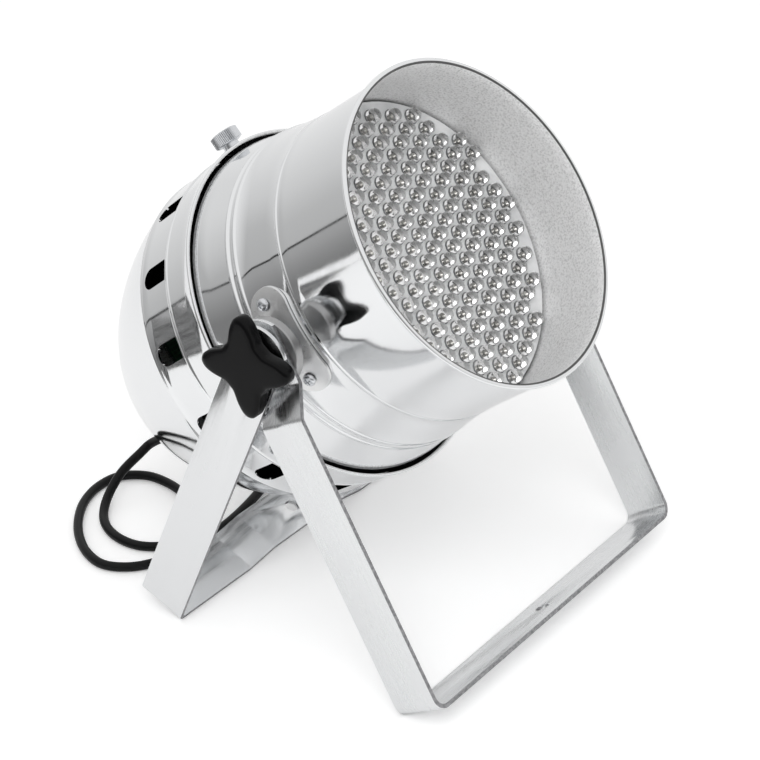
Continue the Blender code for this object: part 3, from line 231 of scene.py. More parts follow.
below_pivot = Vector((PIVOT.x, PIVOT.y, 0))
gland_end = PANEL @ (Vector((*GLAND_AT, 43.2)) * MM)
out = Vector((0, math.cos(TILT), -math.sin(TILT)))
plug_entry = below_pivot + Vector((78, 197, 18.6)) * MM
route = [gland_end, gland_end + out * 0.014, gland_end + out * 0.028]
route += [below_pivot + Vector(point) * MM for point in lead_points]
route += [plug_entry + Vector((0, 0.014, 0)), plug_entry]
# A smooth line through the points of the route, in eight steps from each to the next
ends = [2 * route[0] - route[1]] + route + [2 * route[-1] - route[-2]]
lead_line = []
for a, b, c, d in zip(ends, ends[1:], ends[2:], ends[3:]):
    for step in range(8):
        t = step / 8
        squared, cubed = 2 * a - 5 * b + 4 * c - d, 3 * b - a - 3 * c + d
        lead_line.append((2 * b + (c - a) * t + squared * t * t + cubed * t**3) / 2)
lead_line.append(route[-1])
line = bpy.data.curves.new("lead", "CURVE")
line.dimensions = "3D"
line.bevel_depth = LEAD_R * MM
line.bevel_resolution = 4
line.use_fill_caps = True
strand = line.splines.new("POLY")
strand.points.add(len(lead_line) - 1)
for point, place in zip(strand.points, lead_line):
    point.co = (*place, 1)
strand.use_smooth = True
lead = bpy.data.objects.new("lead", line)
bpy.context.scene.collection.objects.link(lead)

# Soft PVC, extruded: an even black with a dull sheen, a little scuffed.
pvc, tree, shader, scuffs = mottled(
    "extruded black PVC", {"Scale": 220, "Detail": 4}, [(0.3, "050506"), (0.7, "0b0b0c")],
    {"IOR": 1.53, "Specular IOR Level": 0.2},
)
dull = spread(tree, scuffs.outputs["Fac"], {"To Min": 0.34, "To Max": 0.52})
tree.links.new(dull, shader.inputs["Roughness"])
scuffed = {"Strength": 0.15, "Distance": 0.0002}
rough = add_node(tree, "ShaderNodeBump", scuffed, {"Height": scuffs.outputs["Fac"]})
tree.links.new(rough.outputs["Normal"], shader.inputs["Normal"])
line.materials.append(pvc)


def turn(name, outline, steps, closed=False, angle=math.tau):
    """Turns an outline of (radius, height) points in millimetres round Z, as on a lathe."""
    bpy.ops.mesh.primitive_plane_add(size=0.001)
    made = bpy.context.object
    made.name = made.data.name = name
    bpy.ops.object.mode_set(mode="EDIT")
    bpy.ops.mesh.select_all(action="SELECT")
    bpy.ops.mesh.merge(type="CENTER")
    points = [Vector((radius, 0, height)) * MM for radius, height in outline]
    if closed:
        points.append(points[0])
    bpy.ops.transform.translate(value=points[0])
    for before, after in zip(points, points[1:]):
        bpy.ops.mesh.extrude_region_move(TRANSFORM_OT_translate={"value": after - before})
    bpy.ops.mesh.select_all(action="SELECT")
    bpy.ops.mesh.remove_doubles(threshold=0.000001)
    if angle < math.tau:
        bpy.ops.mesh.edge_face_add()
    bpy.ops.mesh.spin(steps=steps, angle=angle, center=(0, 0, 0), axis=(0, 0, 1))
    bpy.ops.mesh.select_all(action="SELECT")
    bpy.ops.mesh.remove_doubles(threshold=0.000001)
    bpy.ops.mesh.normals_make_consistent(inside=False)
    bpy.ops.object.mode_set(mode="OBJECT")
    return made


def choose(*made):
    """Selects these objects alone, with the last one active."""
    bpy.ops.object.select_all(action="DESELECT")
    for each in made:
        each.select_set(True)
    bpy.context.view_layer.objects.active = made[-1]


def put(made, place, smooth=32):
    """Sets a finished piece in its place, with the place in its mesh, and smooths it but for its edges."""
    made.matrix_world = place
    choose(made)
    bpy.ops.object.transform_apply(location=True, rotation=True, scale=True)
    bpy.ops.object.shade_smooth_by_angle(angle=math.radians(smooth))


def pick(made, wanted):
    """Opens a mesh for editing with only the vertices selected whose place passes the test."""
    choose(made)
    bpy.ops.object.mode_set(mode="EDIT")
    bpy.ops.mesh.select_all(action="DESELECT")
    bpy.ops.object.mode_set(mode="OBJECT")
    for vertex in made.data.vertices:
        vertex.select = wanted(vertex.co)
    bpy.ops.object.mode_set(mode="EDIT")


relief_outline = [(0, 26.0), (4.0, 26.0), (4.3, 25.6)]
for rib in range(5):
    top = 24.6 - rib * 4.9
    radius = 4.4 + 0.21 * (24.6 - top) / 4.9
    relief_outline += [(radius, top), (radius + 0.1, top - 2.6)]
    relief_outline += [(radius - 0.7, top - 3.0), (radius - 0.6, top - 4.3)]
relief_outline += [(5.4, 0.9), (5.4, 0), (0, 0)]
relief = turn("lead_relief", relief_outline, 32)
put(relief, PANEL @ Matrix.Translation(Vector((*GLAND_AT, 16.9)) * MM))
relief.data.materials.append(pvc)

# The plug: a round earthed plug moulded in the same rubber, ringed for grip, with two nickel-plated
# pins. It lies on the floor behind the can, where the photograph can't see it.
plug_outline = [(0, 0), (6.4, 0), (7.0, -0.8)]
for rib in range(3):
    at = -rib * 2.4
    plug_outline += [(7.2, at - 2.0), (7.6, at - 2.4), (7.6, at - 3.6), (7.0, at - 4.0)]
plug_outline += [(8.6, -9.4), (11.5, -11.4), (14.8, -14), (17.6, -16.6), (18.4, -18.2)]
for ring in range(3):
    at = -ring * 3
    plug_outline += [(18.4, at - 21.0), (17.7, at - 21.4), (17.7, at - 22.2), (18.4, at - 22.6)]
plug_outline += [(18.4, -35.2), (17.6, -36), (0, -36)]
PLUG = Matrix.Translation(plug_entry - Vector((0, 0.3 * MM, 0))) @ Matrix.Rotation(-math.pi / 2, 4, "X")
plug = turn("lead_plug", plug_outline, 64)
put(plug, PLUG)
plug.data.materials.append(pvc)

# Brass pins, nickel-plated, dulled where they were plugged in.
nickel, tree, shader = new_material("nickel-plated brass", {"Metallic": 1, "Base Color": linear("c9c2b2")})
where = add_node(tree, "ShaderNodeTexCoord")
worn = add_node(tree, "ShaderNodeTexNoise", {"Scale": 400, "Detail": 3}, {"Vector": where.outputs["Object"]})
dull = spread(tree, worn.outputs["Fac"], {"To Min": 0.16, "To Max": 0.34})
tree.links.new(dull, shader.inputs["Roughness"])
PIN_OUT = 9.5
pin_outline = [(0, -55), (1.4, -54.8), (2.2, -53.8), (2.4, -52.4), (2.4, -36.02), (0, -36.02)]
for number, side in ((1, -1), (2, 1)):
    pin = turn(f"lead_plug_pin_{number}", pin_outline, 24)
    put(pin, PLUG @ Matrix.Translation((side * PIN_OUT * MM, 0, 0)))
    pin.data.materials.append(nickel)
    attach(pin, "can")
    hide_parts(f"plug_pin_{number}")
for made, node in ((lead, "mains_lead"), (relief, "bend_relief"), (plug, "plug_body")):
    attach(made, "can")
    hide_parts(node)

# The front barrel: aluminium spun over a former, with a rolled rim, a fine bead, a cone that opens to
# the rear band and a pair of beads. Outside it is buffed to a mirror, inside it is left satin.
BARREL_R, BEAD_AT, CONE_LONG, CONE_RISE = 112, 72.5, 36.9, 4.4
BAND_R, BAND_FROM, BAND_LONG, BAND_RISE = 117, 121, 26, 6
outer = [(111.3, -0.3), (111.8, -0.05), (112.4, 0)]
for a in range(0, 181, 20):
    curl = math.radians(a)
    outer.append((113.5 + 1.5 * math.sin(curl), -1.5 + 1.5 * math.cos(curl)))
outer += [(112.5, -3.3), (112.05, -4.0)]


def bead(at, low, high, rise, half):
    """A rounded bead on a wall that goes from one radius to another."""
    points = []
    for i in range(9):
        share = i / 8
        bulge = rise * math.sin(math.pi * share) ** 1.5
        points.append((low + (high - low) * share + bulge, -(at - half + 2 * half * share)))
    return points


for at in range(8, 68, 8):
    outer.append((BARREL_R, -at))
outer += bead(BEAD_AT, 112, 112.2, 0.55, 1.6)
for at in (82, 90, 98):
    outer.append((BARREL_R + CONE_RISE * (at - BEAD_AT) / CONE_LONG, -at))
outer += bead(111.2, 116.4, 116.6, 1.1, 2.1) + bead(118.0, 116.7, 117.0, 1.3, 2.4)
for at in (128, 136, 146):
    outer.append((BAND_R + BAND_RISE * (at - BAND_FROM) / BAND_LONG, -at))
outer += [(122.9, -157.6), (122.5, -158)]
inner = [(121.9, -158), (121.9, -147), (116, -121.5), (115.5, -109), (113.2, -90)]
inner += [(111, -72.5), (111, -40), (111, -10), (111, -0.8)]
barrel = turn("barrel", outer + inner, 192, closed=True)


def at_home(tree, place):
    """Object coordinates in the piece's own frame, before it was set in its place."""
    home = place.inverted()
    where = add_node(tree, "ShaderNodeTexCoord")
    moved = {"Location": home.translation, "Rotation": home.to_euler()}
    return add_node(tree, "ShaderNodeMapping", moved, {"Vector": where.outputs["Object"]}).outputs["Vector"]


def scratched_metal(name, colour, dull_from, dull_to, place, grain, wave):
    """A bare metal with fine lines, smears and a slight unevenness, laid out in the frame of its piece."""
    made, tree, shader = new_material(name, {"Metallic": 1, "Base Color": linear(colour)})
    local = at_home(tree, place)
    drawn = add_node(tree, "ShaderNodeMapping", {"Scale": grain}, {"Vector": local})
    fine_noise = {"Scale": 1, "Detail": 3, "Roughness": 0.6}
    lines = add_node(tree, "ShaderNodeTexNoise", fine_noise, {"Vector": drawn.outputs["Vector"]})
    smear_noise = {"Scale": 26, "Detail": 5, "Roughness": 0.65}
    smears = add_node(tree, "ShaderNodeTexNoise", smear_noise, {"Vector": local})
    factors = {0: lines.outputs["Fac"], 1: smears.outputs["Fac"]}
    both = add_node(tree, "ShaderNodeMath", {"operation": "MULTIPLY"}, factors)
    ranges = {"From Min": 0.12, "From Max": 0.42, "To Min": dull_from, "To Max": dull_to}
    tree.links.new(spread(tree, both.outputs[0], ranges), shader.inputs["Roughness"])
    uneven = add_node(tree, "ShaderNodeTexNoise", {"Scale": 9, "Detail": 1}, {"Vector": local})
    waves = {"Strength": 1, "Distance": wave}
    broad = add_node(tree, "ShaderNodeBump", waves, {"Height": uneven.outputs["Fac"]})
    scratches = {"Strength": 0.6, "Distance": 0.00002}
    onto = {"Height": lines.outputs["Fac"], "Normal": broad.outputs["Normal"]}
    fine = add_node(tree, "ShaderNodeBump", scratches, onto)
    tree.links.new(fine.outputs["Normal"], shader.inputs["Normal"])
    return made


# Spun aluminium, buffed: a mirror with turning lines a few tenths of a millimetre apart.
mirror = scratched_metal("spun and buffed aluminium", "f0f1f2", 0.03, 0.11, CAN, (6, 6, 1400), 0.0004)
# The inside, as it left the lathe: pale and satin.
satin_inside = scratched_metal("spun aluminium, satin", "f6f6f6", 0.42, 0.6, CAN, (12, 12, 2200), 0.0002)
tree = satin_inside.node_tree
shader = tree.nodes["Principled BSDF"]
shader.inputs["Metallic"].default_value = 0.25
where = add_node(tree, "ShaderNodeTexCoord")
speckle_noise = {"Scale": 700, "Detail": 4, "Roughness": 0.7}
speckle = add_node(tree, "ShaderNodeTexNoise", speckle_noise, {"Vector": where.outputs["Object"]})
pale = ramp(tree, speckle.outputs["Fac"], [(0.38, "d8d8d8"), (0.5, "f6f6f6"), (0.6, "ffffff")])
tree.links.new(pale, shader.inputs["Base Color"])
# The inner lip of the rolled rim: a dull grey ring, painted shade where the curl shades itself.
rim_lip_painted_shade = scratched_metal("painted shade inside the rolled rim", "6a6a6a", 0.4, 0.6, CAN, (300, 300, 300), 0.0)
for finish in (mirror, satin_inside, rim_lip_painted_shade):
    barrel.data.materials.append(finish)
for face in barrel.data.polygons:
    flat = Vector((face.center.x, face.center.y, 0))
    if face.normal.dot(flat) < 0 and flat.length < 116.1 * MM:
        face.material_index = 1
    # The faces of the rim's inner lip take the grey of painted shade
    if flat.length < 112.5 * MM and face.center.z > -0.9 * MM:
        face.material_index = 2
put(barrel, CAN)
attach(barrel, "can")
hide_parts("front_barrel")

# The led board: a white-faced aluminium board that stands on spacers inside the barrel, with a field of
# round 10 mm leds in clear epoxy on a square pitch of 13.4 mm.
board_outline = [(0, -58.75), (108.9, -58.75), (109.3, -59.2), (109.3, -60.75), (0, -60.75)]
board = turn("led_board_disc", board_outline, 128)
mask, tree, shader = new_material("white solder mask", {"Roughness": 0.38})
mottle = add_node(tree, "ShaderNodeTexNoise", {"Scale": 60, "Detail": 3}, {"Vector": at_home(tree, CAN)})
white = ramp(tree, mottle.outputs["Fac"], [(0.3, "dedfe0"), (0.7, "f4f5f5")])
tree.links.new(white, shader.inputs["Base Color"])
board.data.materials.append(mask)
put(board, CAN)

PITCH, FIELD_R, FIELD_TURN, FIELD_SHIFT = 13.39, 104.0, math.radians(26), (2.2, 1.7)


def outside_field(co):
    """Whether the led that this point belongs to stands outside the round field."""
    places = [(math.floor(value / (PITCH * MM)) + 0.5) * PITCH for value in (co.x, co.y)]
    return math.hypot(*[place + shift for place, shift in zip(places, FIELD_SHIFT)]) >= FIELD_R


def led_field(single, rows=18):
    """Repeats one led part over the round field: two arrays, turned, with what lies outside taken off."""
    choose(single)
    first = -(rows - 1) / 2 * PITCH * MM
    bpy.ops.object.mode_set(mode="EDIT")
    bpy.ops.mesh.select_all(action="SELECT")
    bpy.ops.transform.translate(value=(first, first, 0))
    bpy.ops.object.mode_set(mode="OBJECT")
    for way in ((1, 0, 0), (0, 1, 0)):
        array = single.modifiers.new("Rows", "ARRAY")
        array.count = rows
        array.use_relative_offset = False
        array.use_constant_offset = True
        array.constant_offset_displace = Vector(way) * PITCH * MM
        bpy.ops.object.modifier_apply(modifier=array.name)
    pick(single, outside_field)
    bpy.ops.mesh.delete(type="VERT")
    bpy.ops.object.mode_set(mode="OBJECT")
    field = CAN @ Matrix.Rotation(FIELD_TURN, 4, "Z") @ Matrix.Translation(Vector((*FIELD_SHIFT, 0)) * MM)
    put(single, field, 50)


# Clear epoxy, cast: as bright as glass, with the lead frame's cup and chip low inside it.
lens_outline = [(0, -58.7), (5.0, -58.7), (5.0, -54.6), (4.7, -53.2), (3.9, -51.8), (2.5, -50.7), (0, -50.1)]
lens = turn("led_lenses", lens_outline, 12)
led_field(lens)
lens.data.materials.append(new_material("clear cast epoxy", {
    "Base Color": linear("fafafa"), "Roughness": 0.03, "IOR": 1.51, "Transmission Weight": 1.0,
})[0])
# The cup of the lead frame, silver-plated and a little tarnished.
cup_outline = [(0, -58.5), (1.3, -58.5), (1.3, -56.6), (1.0, -56.4), (0.4, -57.2), (0, -57.2)]
cup = turn("led_cups", cup_outline, 8)
led_field(cup)
cup.data.materials.append(mottled(
    "silver-plated lead frame", {"Scale": 90}, [(0.35, "a8a6a2"), (0.7, "d8d6d2")],
    {"Metallic": 1, "Roughness": 0.3},
)[0])
# Each lens stands in a moulded ring at its foot, grey as painted shadow, which the lens refracts as a dark
# rim round it.
flange_outline = [(5.05, -58.7), (5.6, -58.7), (5.6, -57.9), (5.3, -57.6), (5.05, -57.6)]
flange_painted_shadow = turn("led_flanges", flange_outline, 12, closed=True)
led_field(flange_painted_shadow)
flange_painted_shadow.data.materials.append(mottled(
    "lens foot ring, painted shadow grey", {"Scale": 150, "Detail": 2}, [(0.35, "5c5e60"), (0.65, "8c8e90")],
    {"Roughness": 0.15},
)[0])
for made in (board, lens, cup, flange_painted_shadow):
    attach(made, "can")
    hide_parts("led_board")

# The rear housing: one aluminium spinning with a rolled rim, a straight band, a cone pierced by fourteen
# vents and a dome that closes to the rear panel. Buffed outside, satin inside the rim, painted shade further
# in.
SHOULDER_AT, SHOULDER_R, VENT_CONE_LONG, VENT_CONE_FALL = 176.7, 123.9, 31.5, 1.8
CREASE_AT, CREASE_R, DOME_R, DOME_LEAN = 208.2, 122.1, 228, math.radians(12.8)
HOUSING_RIM_AT, HOUSING_RIM_R, HOUSING_WALL = 147, 126.6, 1.4
DOME_FROM, DOME_LONG, DOME_STEPS = 210.2, 84.8, 25
outer = [(126.0, -147.3), (126.3, -147), (127.0, -147)]
for a in range(20, 181, 20):
    curl = math.radians(a)
    outer.append((HOUSING_RIM_R + 1.0 * math.sin(curl), -HOUSING_RIM_AT - 1.5 + 1.5 * math.cos(curl)))
outer += [(126.2, -151), (125.6, -158), (124.8, -167), (124.1, -174.8), (124.5, -175.6), (124.7, -176.5)]
outer += [(124.4, -177.4), (123.75, -178.2)]
for at in (184, 192, 200, 206.4):
    outer.append((SHOULDER_R - VENT_CONE_FALL * (at - SHOULDER_AT) / VENT_CONE_LONG, -at))
outer += [(122.6, -207.3), (122.75, -208.2), (122.5, -209.1)]


def dome(at):
    """The radius of the dome, an arc that leaves the crease with a lean."""
    along = at - CREASE_AT + DOME_R * math.sin(DOME_LEAN)
    return CREASE_R - DOME_R * math.cos(DOME_LEAN) + math.sqrt(DOME_R**2 - along**2)


for i in range(DOME_STEPS + 1):
    at = DOME_FROM + DOME_LONG * i / DOME_STEPS
    outer.append((dome(at), -at))
outer += [(78.0, -299), (76.0, -300.3), (72.9, -301), (56.4, -301), (56, -300.7)]
inner = [(56, -299.8), (71.7, -299.8)]
for i in range(8, -1, -1):
    at = CREASE_AT + 10.6 * i
    inner.append((dome(at) - HOUSING_WALL, -at))
inner += [(122.6, -176.7), (124.0, -162), (125.2, -150), (125.4, -147.6)]
housing = turn("housing", outer + inner, 224, closed=True)
# The inside of the spinning beyond the rim: a near-black mottle, painted shade.
painted_shade_inside = mottled(
    "painted shade inside the housing", {"Scale": 30, "Detail": 4}, [(0.3, "060606"), (0.7, "101010")],
    {"Roughness": 0.8, "Specular IOR Level": 0.2},
)[0]
for finish in (mirror, painted_shade_inside, satin_inside):
    housing.data.materials.append(finish)
# Inner faces: satin near the rim, near-black painted shade deeper in
for face in housing.data.polygons:
    flat = Vector((face.center.x, face.center.y, 0))
    if face.normal.dot(flat) < 0 or (face.normal.z > 0.5 and face.center.z < -0.25):
        face.material_index = 1 if face.center.z < -0.150 else 2

# One vent's cutter: a rod pulled out to a slot with one straight end, then stood on the cone and
# copied round.
VENTS, VENT_R, VENT_ROUND_AT, VENT_LONG = 14, 7.7, 19.4, 16.84
centre = (0, -VENT_ROUND_AT * MM, 0)
bpy.ops.mesh.primitive_cylinder_add(vertices=48, radius=VENT_R * MM, depth=30 * MM, location=centre)
slot = bpy.context.object
bpy.ops.object.transform_apply(location=True, rotation=True, scale=True)
pick(slot, lambda co: co.y > centre[1] - 0.01 * MM)
bpy.ops.transform.resize(value=(1, 0.06, 1), center_override=centre)
bpy.ops.transform.translate(value=(0, VENT_LONG * MM, 0))
bpy.ops.object.mode_set(mode="OBJECT")
slots = []
slope = math.atan2(VENT_CONE_FALL, VENT_CONE_LONG)
stood = Matrix.Rotation(-slope, 4, "X") @ Matrix.Rotation(math.pi / 2, 4, "X")
on_shoulder = Matrix.Translation((0, SHOULDER_R * MM, -SHOULDER_AT * MM)) @ stood
for i in range(VENTS):
    copy = slot.copy()
    copy.data = slot.data.copy()
    bpy.context.scene.collection.objects.link(copy)
    copy.matrix_world = Matrix.Rotation(math.tau * i / VENTS, 4, "Z") @ on_shoulder
    slots.append(copy)
bpy.data.objects.remove(slot)


def cut_with(made, cutters, operation="DIFFERENCE"):
    """Cuts a piece with others, joined in one, and removes them."""
    if len(cutters) > 1:
        choose(*cutters[1:], cutters[0])
        bpy.ops.object.join()
    choose(made)
    boolean = made.modifiers.new("Cut", "BOOLEAN")
    boolean.operation = operation
    boolean.object = cutters[0]
    boolean.solver = "EXACT"
    bpy.ops.object.modifier_apply(modifier=boolean.name)
    bpy.data.objects.remove(cutters[0])


cut_with(housing, slots)
put(housing, CAN, 28)
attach(housing, "can")
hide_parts("rear_housing")


def finish_solids(names, finish):
    """Gives a material to CAD solids that stay visible."""
    for name in names:
        for holder in frame["nodes"][name].material_slots:
            holder.material = finish


# Inside, seen only through the vents: the carrier pan and the supply's case, near-black as painted shade
# that keeps the vents dark, and the two circuit boards with their green mask.
interior_painted_shade = mottled(
    "near-black interior metal, painted shade", {"Scale": 300, "Detail": 3}, [(0.3, "0a0a0a"), (0.7, "161616")],
    {"Roughness": 0.55},
)[0]
resist, tree, shader = new_material("green solder mask", {"Roughness": 0.4})
where = add_node(tree, "ShaderNodeTexCoord")
copper = {"Scale": 120, "Color1": linear("06301a"), "Color2": linear("0a3d22"), "Mortar": linear("0f5a34")}
tracks = add_node(tree, "ShaderNodeTexBrick", copper, {"Vector": where.outputs["Object"]})
tree.links.new(tracks.outputs["Color"], shader.inputs["Base Color"])
finish_solids(["board_carrier", "power_supply"], interior_painted_shade)
finish_solids(["driver_board", "control_board"], resist)
finish_solids(["supply_lead"], pvc)


def break_edges(made, width):
    """Rounds the sharp edges of a sheet piece and empties its material slots."""
    rounding = made.modifiers.new("Edge", "BEVEL")
    rounding.width = width * MM
    rounding.segments = 2
    rounding.limit_method = "ANGLE"
    rounding.angle_limit = math.radians(50)
    choose(made)
    bpy.ops.object.modifier_apply(modifier=rounding.name)
    made.data.materials.clear()


# The side plates: 2 mm aluminium with round ends, pressed to the curve of the barrel, each held by two
# cross-head screws.
PLATE_END_R, PLATE_END_OUT, PLATE_MIDDLE = 15, 23, 93.6
PLATE_LIFT, PLATE_THICK = 0.3, 2
brushed = scratched_metal("brushed aluminium plate", "f0f0f0", 0.26, 0.42, CAN, (500, 500, 500), 0.0001)
plate_outline = [
    (112.42 + PLATE_LIFT, -76), (112.42 + PLATE_LIFT + PLATE_THICK, -76),
    (116.59 + PLATE_LIFT + PLATE_THICK, -111), (116.59 + PLATE_LIFT, -111),
]
for side_name, side in (("left", -1), ("right", 1)):
    plate = turn(f"side_plate_piece_{side_name}", plate_outline, 96, closed=True, angle=math.radians(48))
    middle = sum((vertex.co for vertex in plate.data.vertices), Vector()) / len(plate.data.vertices)
    facing = 0 if side > 0 else math.pi
    plate.matrix_world = Matrix.Rotation(facing - math.atan2(middle.y, middle.x), 4, "Z")
    bpy.ops.object.transform_apply(location=True, rotation=True, scale=True)
    bpy.ops.mesh.primitive_cylinder_add(vertices=96, radius=PLATE_END_R * MM, depth=60 * MM)
    blank = bpy.context.object
    for end in (-1, 1):
        pick(blank, lambda co: co.y * end > 0.00001)
        bpy.ops.transform.translate(value=(0, end * PLATE_END_OUT * MM, 0))
        bpy.ops.object.mode_set(mode="OBJECT")
    blank_at = Matrix.Translation((side * 115 * MM, -AXIS_OFF * MM, -PLATE_MIDDLE * MM))
    blank.matrix_world = blank_at @ Matrix.Rotation(math.pi / 2, 4, "Y")
    cut_with(plate, [blank], "INTERSECT")
    break_edges(plate, 0.35)
    plate.data.materials.append(brushed)
    put(plate, CAN, 40)
    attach(plate, "can")
    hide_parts(f"side_plate_{side_name}")

# The screws of the side plates: pan heads with a cross recess, steel, bright zinc plated. The straps,
# studs and the thumb screw have the same plate, bluish and a little cloudy.
zinc = scratched_metal("bright zinc plate", "dcdee1", 0.16, 0.36, CAN, (300, 300, 300), 0.0)


def cross_screw(name, outline, place):
    """A pan-head screw with its cross recess."""
    made = turn(name, outline, 48)
    top = max(height for radius, height in outline) * MM
    for quarter in (0, math.pi / 2):
        bpy.ops.mesh.primitive_cube_add(size=1)
        blade = bpy.context.object
        blade.matrix_world = (
            Matrix.Translation((0, 0, top))
            @ Matrix.Rotation(quarter, 4, "Z")
            @ Matrix.Diagonal((4.6 * MM, 1.0 * MM, 3.0 * MM, 1))
        )
        cut_with(made, [blade])
    made.data.materials.clear()
    made.data.materials.append(zinc)
    put(made, place, 30)
    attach(made, "can")
    return made


PLATE_FACE, SCREW_OUT, HEAD_R = 117.043, 28, 4.5
seat = PLATE_FACE + HEAD_R * CONE_RISE / CONE_LONG + PLATE_LIFT
plate_head = [
    (0, seat + 2.8), (2.0, seat + 2.7), (3.4, seat + 2.2), (4.2, seat + 1.3), (HEAD_R, seat + 0.3),
    (4.4, seat - 0.5), (2, seat - 0.5), (2, seat - 9), (0, seat - 9),
]
for side_name, side in (("left", -1), ("right", 1)):
    for number, across in ((1, -SCREW_OUT), (2, SCREW_OUT)):
        angle = math.asin((across - AXIS_OFF) / PLATE_FACE)
        angle = angle if side > 0 else math.pi - angle
        pointed = Matrix.Rotation(angle, 4, "Z") @ Matrix.Rotation(math.pi / 2, 4, "Y")
        place = CAN @ Matrix.Translation((0, 0, -RIM_AHEAD * MM)) @ pointed
        screw = cross_screw(f"plate_screw_{side_name}_{number}", plate_head, place)
        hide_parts(f"side_plate_screw_{side_name}_{number}")

# The pivots, from the plate outwards: a turned steel boss with its stud, an aluminium friction disc,
# the front leg, an aluminium spacer, the rear leg and the knob, each with a little play.
PLAY, STRIP = 0.3, 3
BOSS_TO = PLATE_FACE + PLAY + 9.2
DISC_FROM, DISC_TO = BOSS_TO + PLAY, BOSS_TO + 7.3
WASHER_FROM = DISC_TO + STRIP + 2 * PLAY
WASHER_TO = WASHER_FROM + 5.4
KNOB_FROM = WASHER_TO + STRIP + 2 * PLAY
STUD_END, STUD_FOOT = KNOB_FROM + 8, PLATE_FACE + 1.7
stud_outline = [
    (0, STUD_END), (4.4, STUD_END), (5, STUD_END - 0.8), (5, BOSS_TO), (12.4, BOSS_TO), (13, BOSS_TO - 0.6),
    (13, STUD_FOOT + 0.2), (12, STUD_FOOT), (0, STUD_FOOT),
]
disc_outline = [
    (5.4, DISC_TO), (22.6, DISC_TO), (23.3, DISC_TO - 0.3), (23.75, DISC_TO - 1.0),
    (23.75, DISC_FROM + 1.0), (23.3, DISC_FROM + 0.3), (22.6, DISC_FROM), (5.4, DISC_FROM),
]
washer_outline = [
    (5.4, WASHER_TO), (11.6, WASHER_TO), (12, WASHER_TO - 0.4), (12, WASHER_FROM + 0.4),
    (11.6, WASHER_FROM), (5.4, WASHER_FROM),
]
# Turned aluminium for the disc and spacer, a darker grey than the other aluminium
turned = scratched_metal(
    "turned aluminium, a darker grey", "b4b4b4", 0.3, 0.5, CAN, (900, 900, 900), 0.0
)
SIDE = {}
for name, side in (("left", -1), ("right", 1)):
    SIDE[name] = Matrix.Translation(PIVOT) @ Matrix.Rotation(side * math.pi / 2, 4, "Y")
for name, place in SIDE.items():
    stud = turn(f"stud_piece_{name}", stud_outline, 64)
    disc = turn(f"disc_piece_{name}", disc_outline, 96, closed=True)
    washer = turn(f"spacer_piece_{name}", washer_outline, 64, closed=True)
    for made, node, metal, slot_name in (
        (stud, "pivot_stud", zinc, "zinc_plated_steel"),
        (disc, "friction_disc", turned, "satin_aluminium"),
        (washer, "spacer_washer", turned, "satin_aluminium"),
    ):
        made.data.materials.append(metal)
        put(made, place)
        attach(made, "can")
        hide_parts(f"{node}_{name}")

# The knobs: black ABS, four rounded lobes, moulded in one with the hub round a brass insert. Each turns
# on the thread of its stud and clamps the legs by hand.
abs_black, tree, shader, handled = mottled(
    "moulded black ABS", {"Scale": 45, "Detail": 4}, [(0.3, "060607"), (0.75, "0c0c0d")],
    {"IOR": 1.54, "Specular IOR Level": 0.12},
)
where = add_node(tree, "ShaderNodeTexCoord")
grain = add_node(tree, "ShaderNodeTexNoise", {"Scale": 700, "Detail": 2}, {"Vector": where.outputs["Object"]})
dull = spread(tree, handled.outputs["Fac"], {"To Min": 0.14, "To Max": 0.3})
tree.links.new(dull, shader.inputs["Roughness"])
pebbled = {"Strength": 0.25, "Distance": 0.0001}
pebble = add_node(tree, "ShaderNodeBump", pebbled, {"Height": grain.outputs["Fac"]})
tree.links.new(pebble.outputs["Normal"], shader.inputs["Normal"])
KNOB_POINTS, KNOB_R, KNOB_FOOT, VALLEY_R, LOBE_HIGH = 144, 27, 2.2, 20, 15
KNOB_TURN = math.radians(6.5)
# Up the side in steps of (rise, share of the radius), rounded at both edges and crowned on the face
KNOB_SIDE = [
    (0.5, 1.045), (0.7, 1.04), (1.1, 1.022), (6.2, 1.0), (1.1, 0.978), (0.8, 0.955), (0.4, 0.93),
    (0.2, 0.86), (0.0, 0.6), (0.0, 0.3),
]
hub_outline = [
    (5.4, KNOB_FROM), (12.6, KNOB_FROM), (13, KNOB_FROM + 0.4), (13, KNOB_FROM + 4), (5.4, KNOB_FROM + 4),
]


def off_lobe(co):
    """How far round, in radians, a point is from the middle of its lobe."""
    return abs((math.atan2(co.y, co.x) + math.pi / 4) % (math.pi / 2) - math.pi / 4)


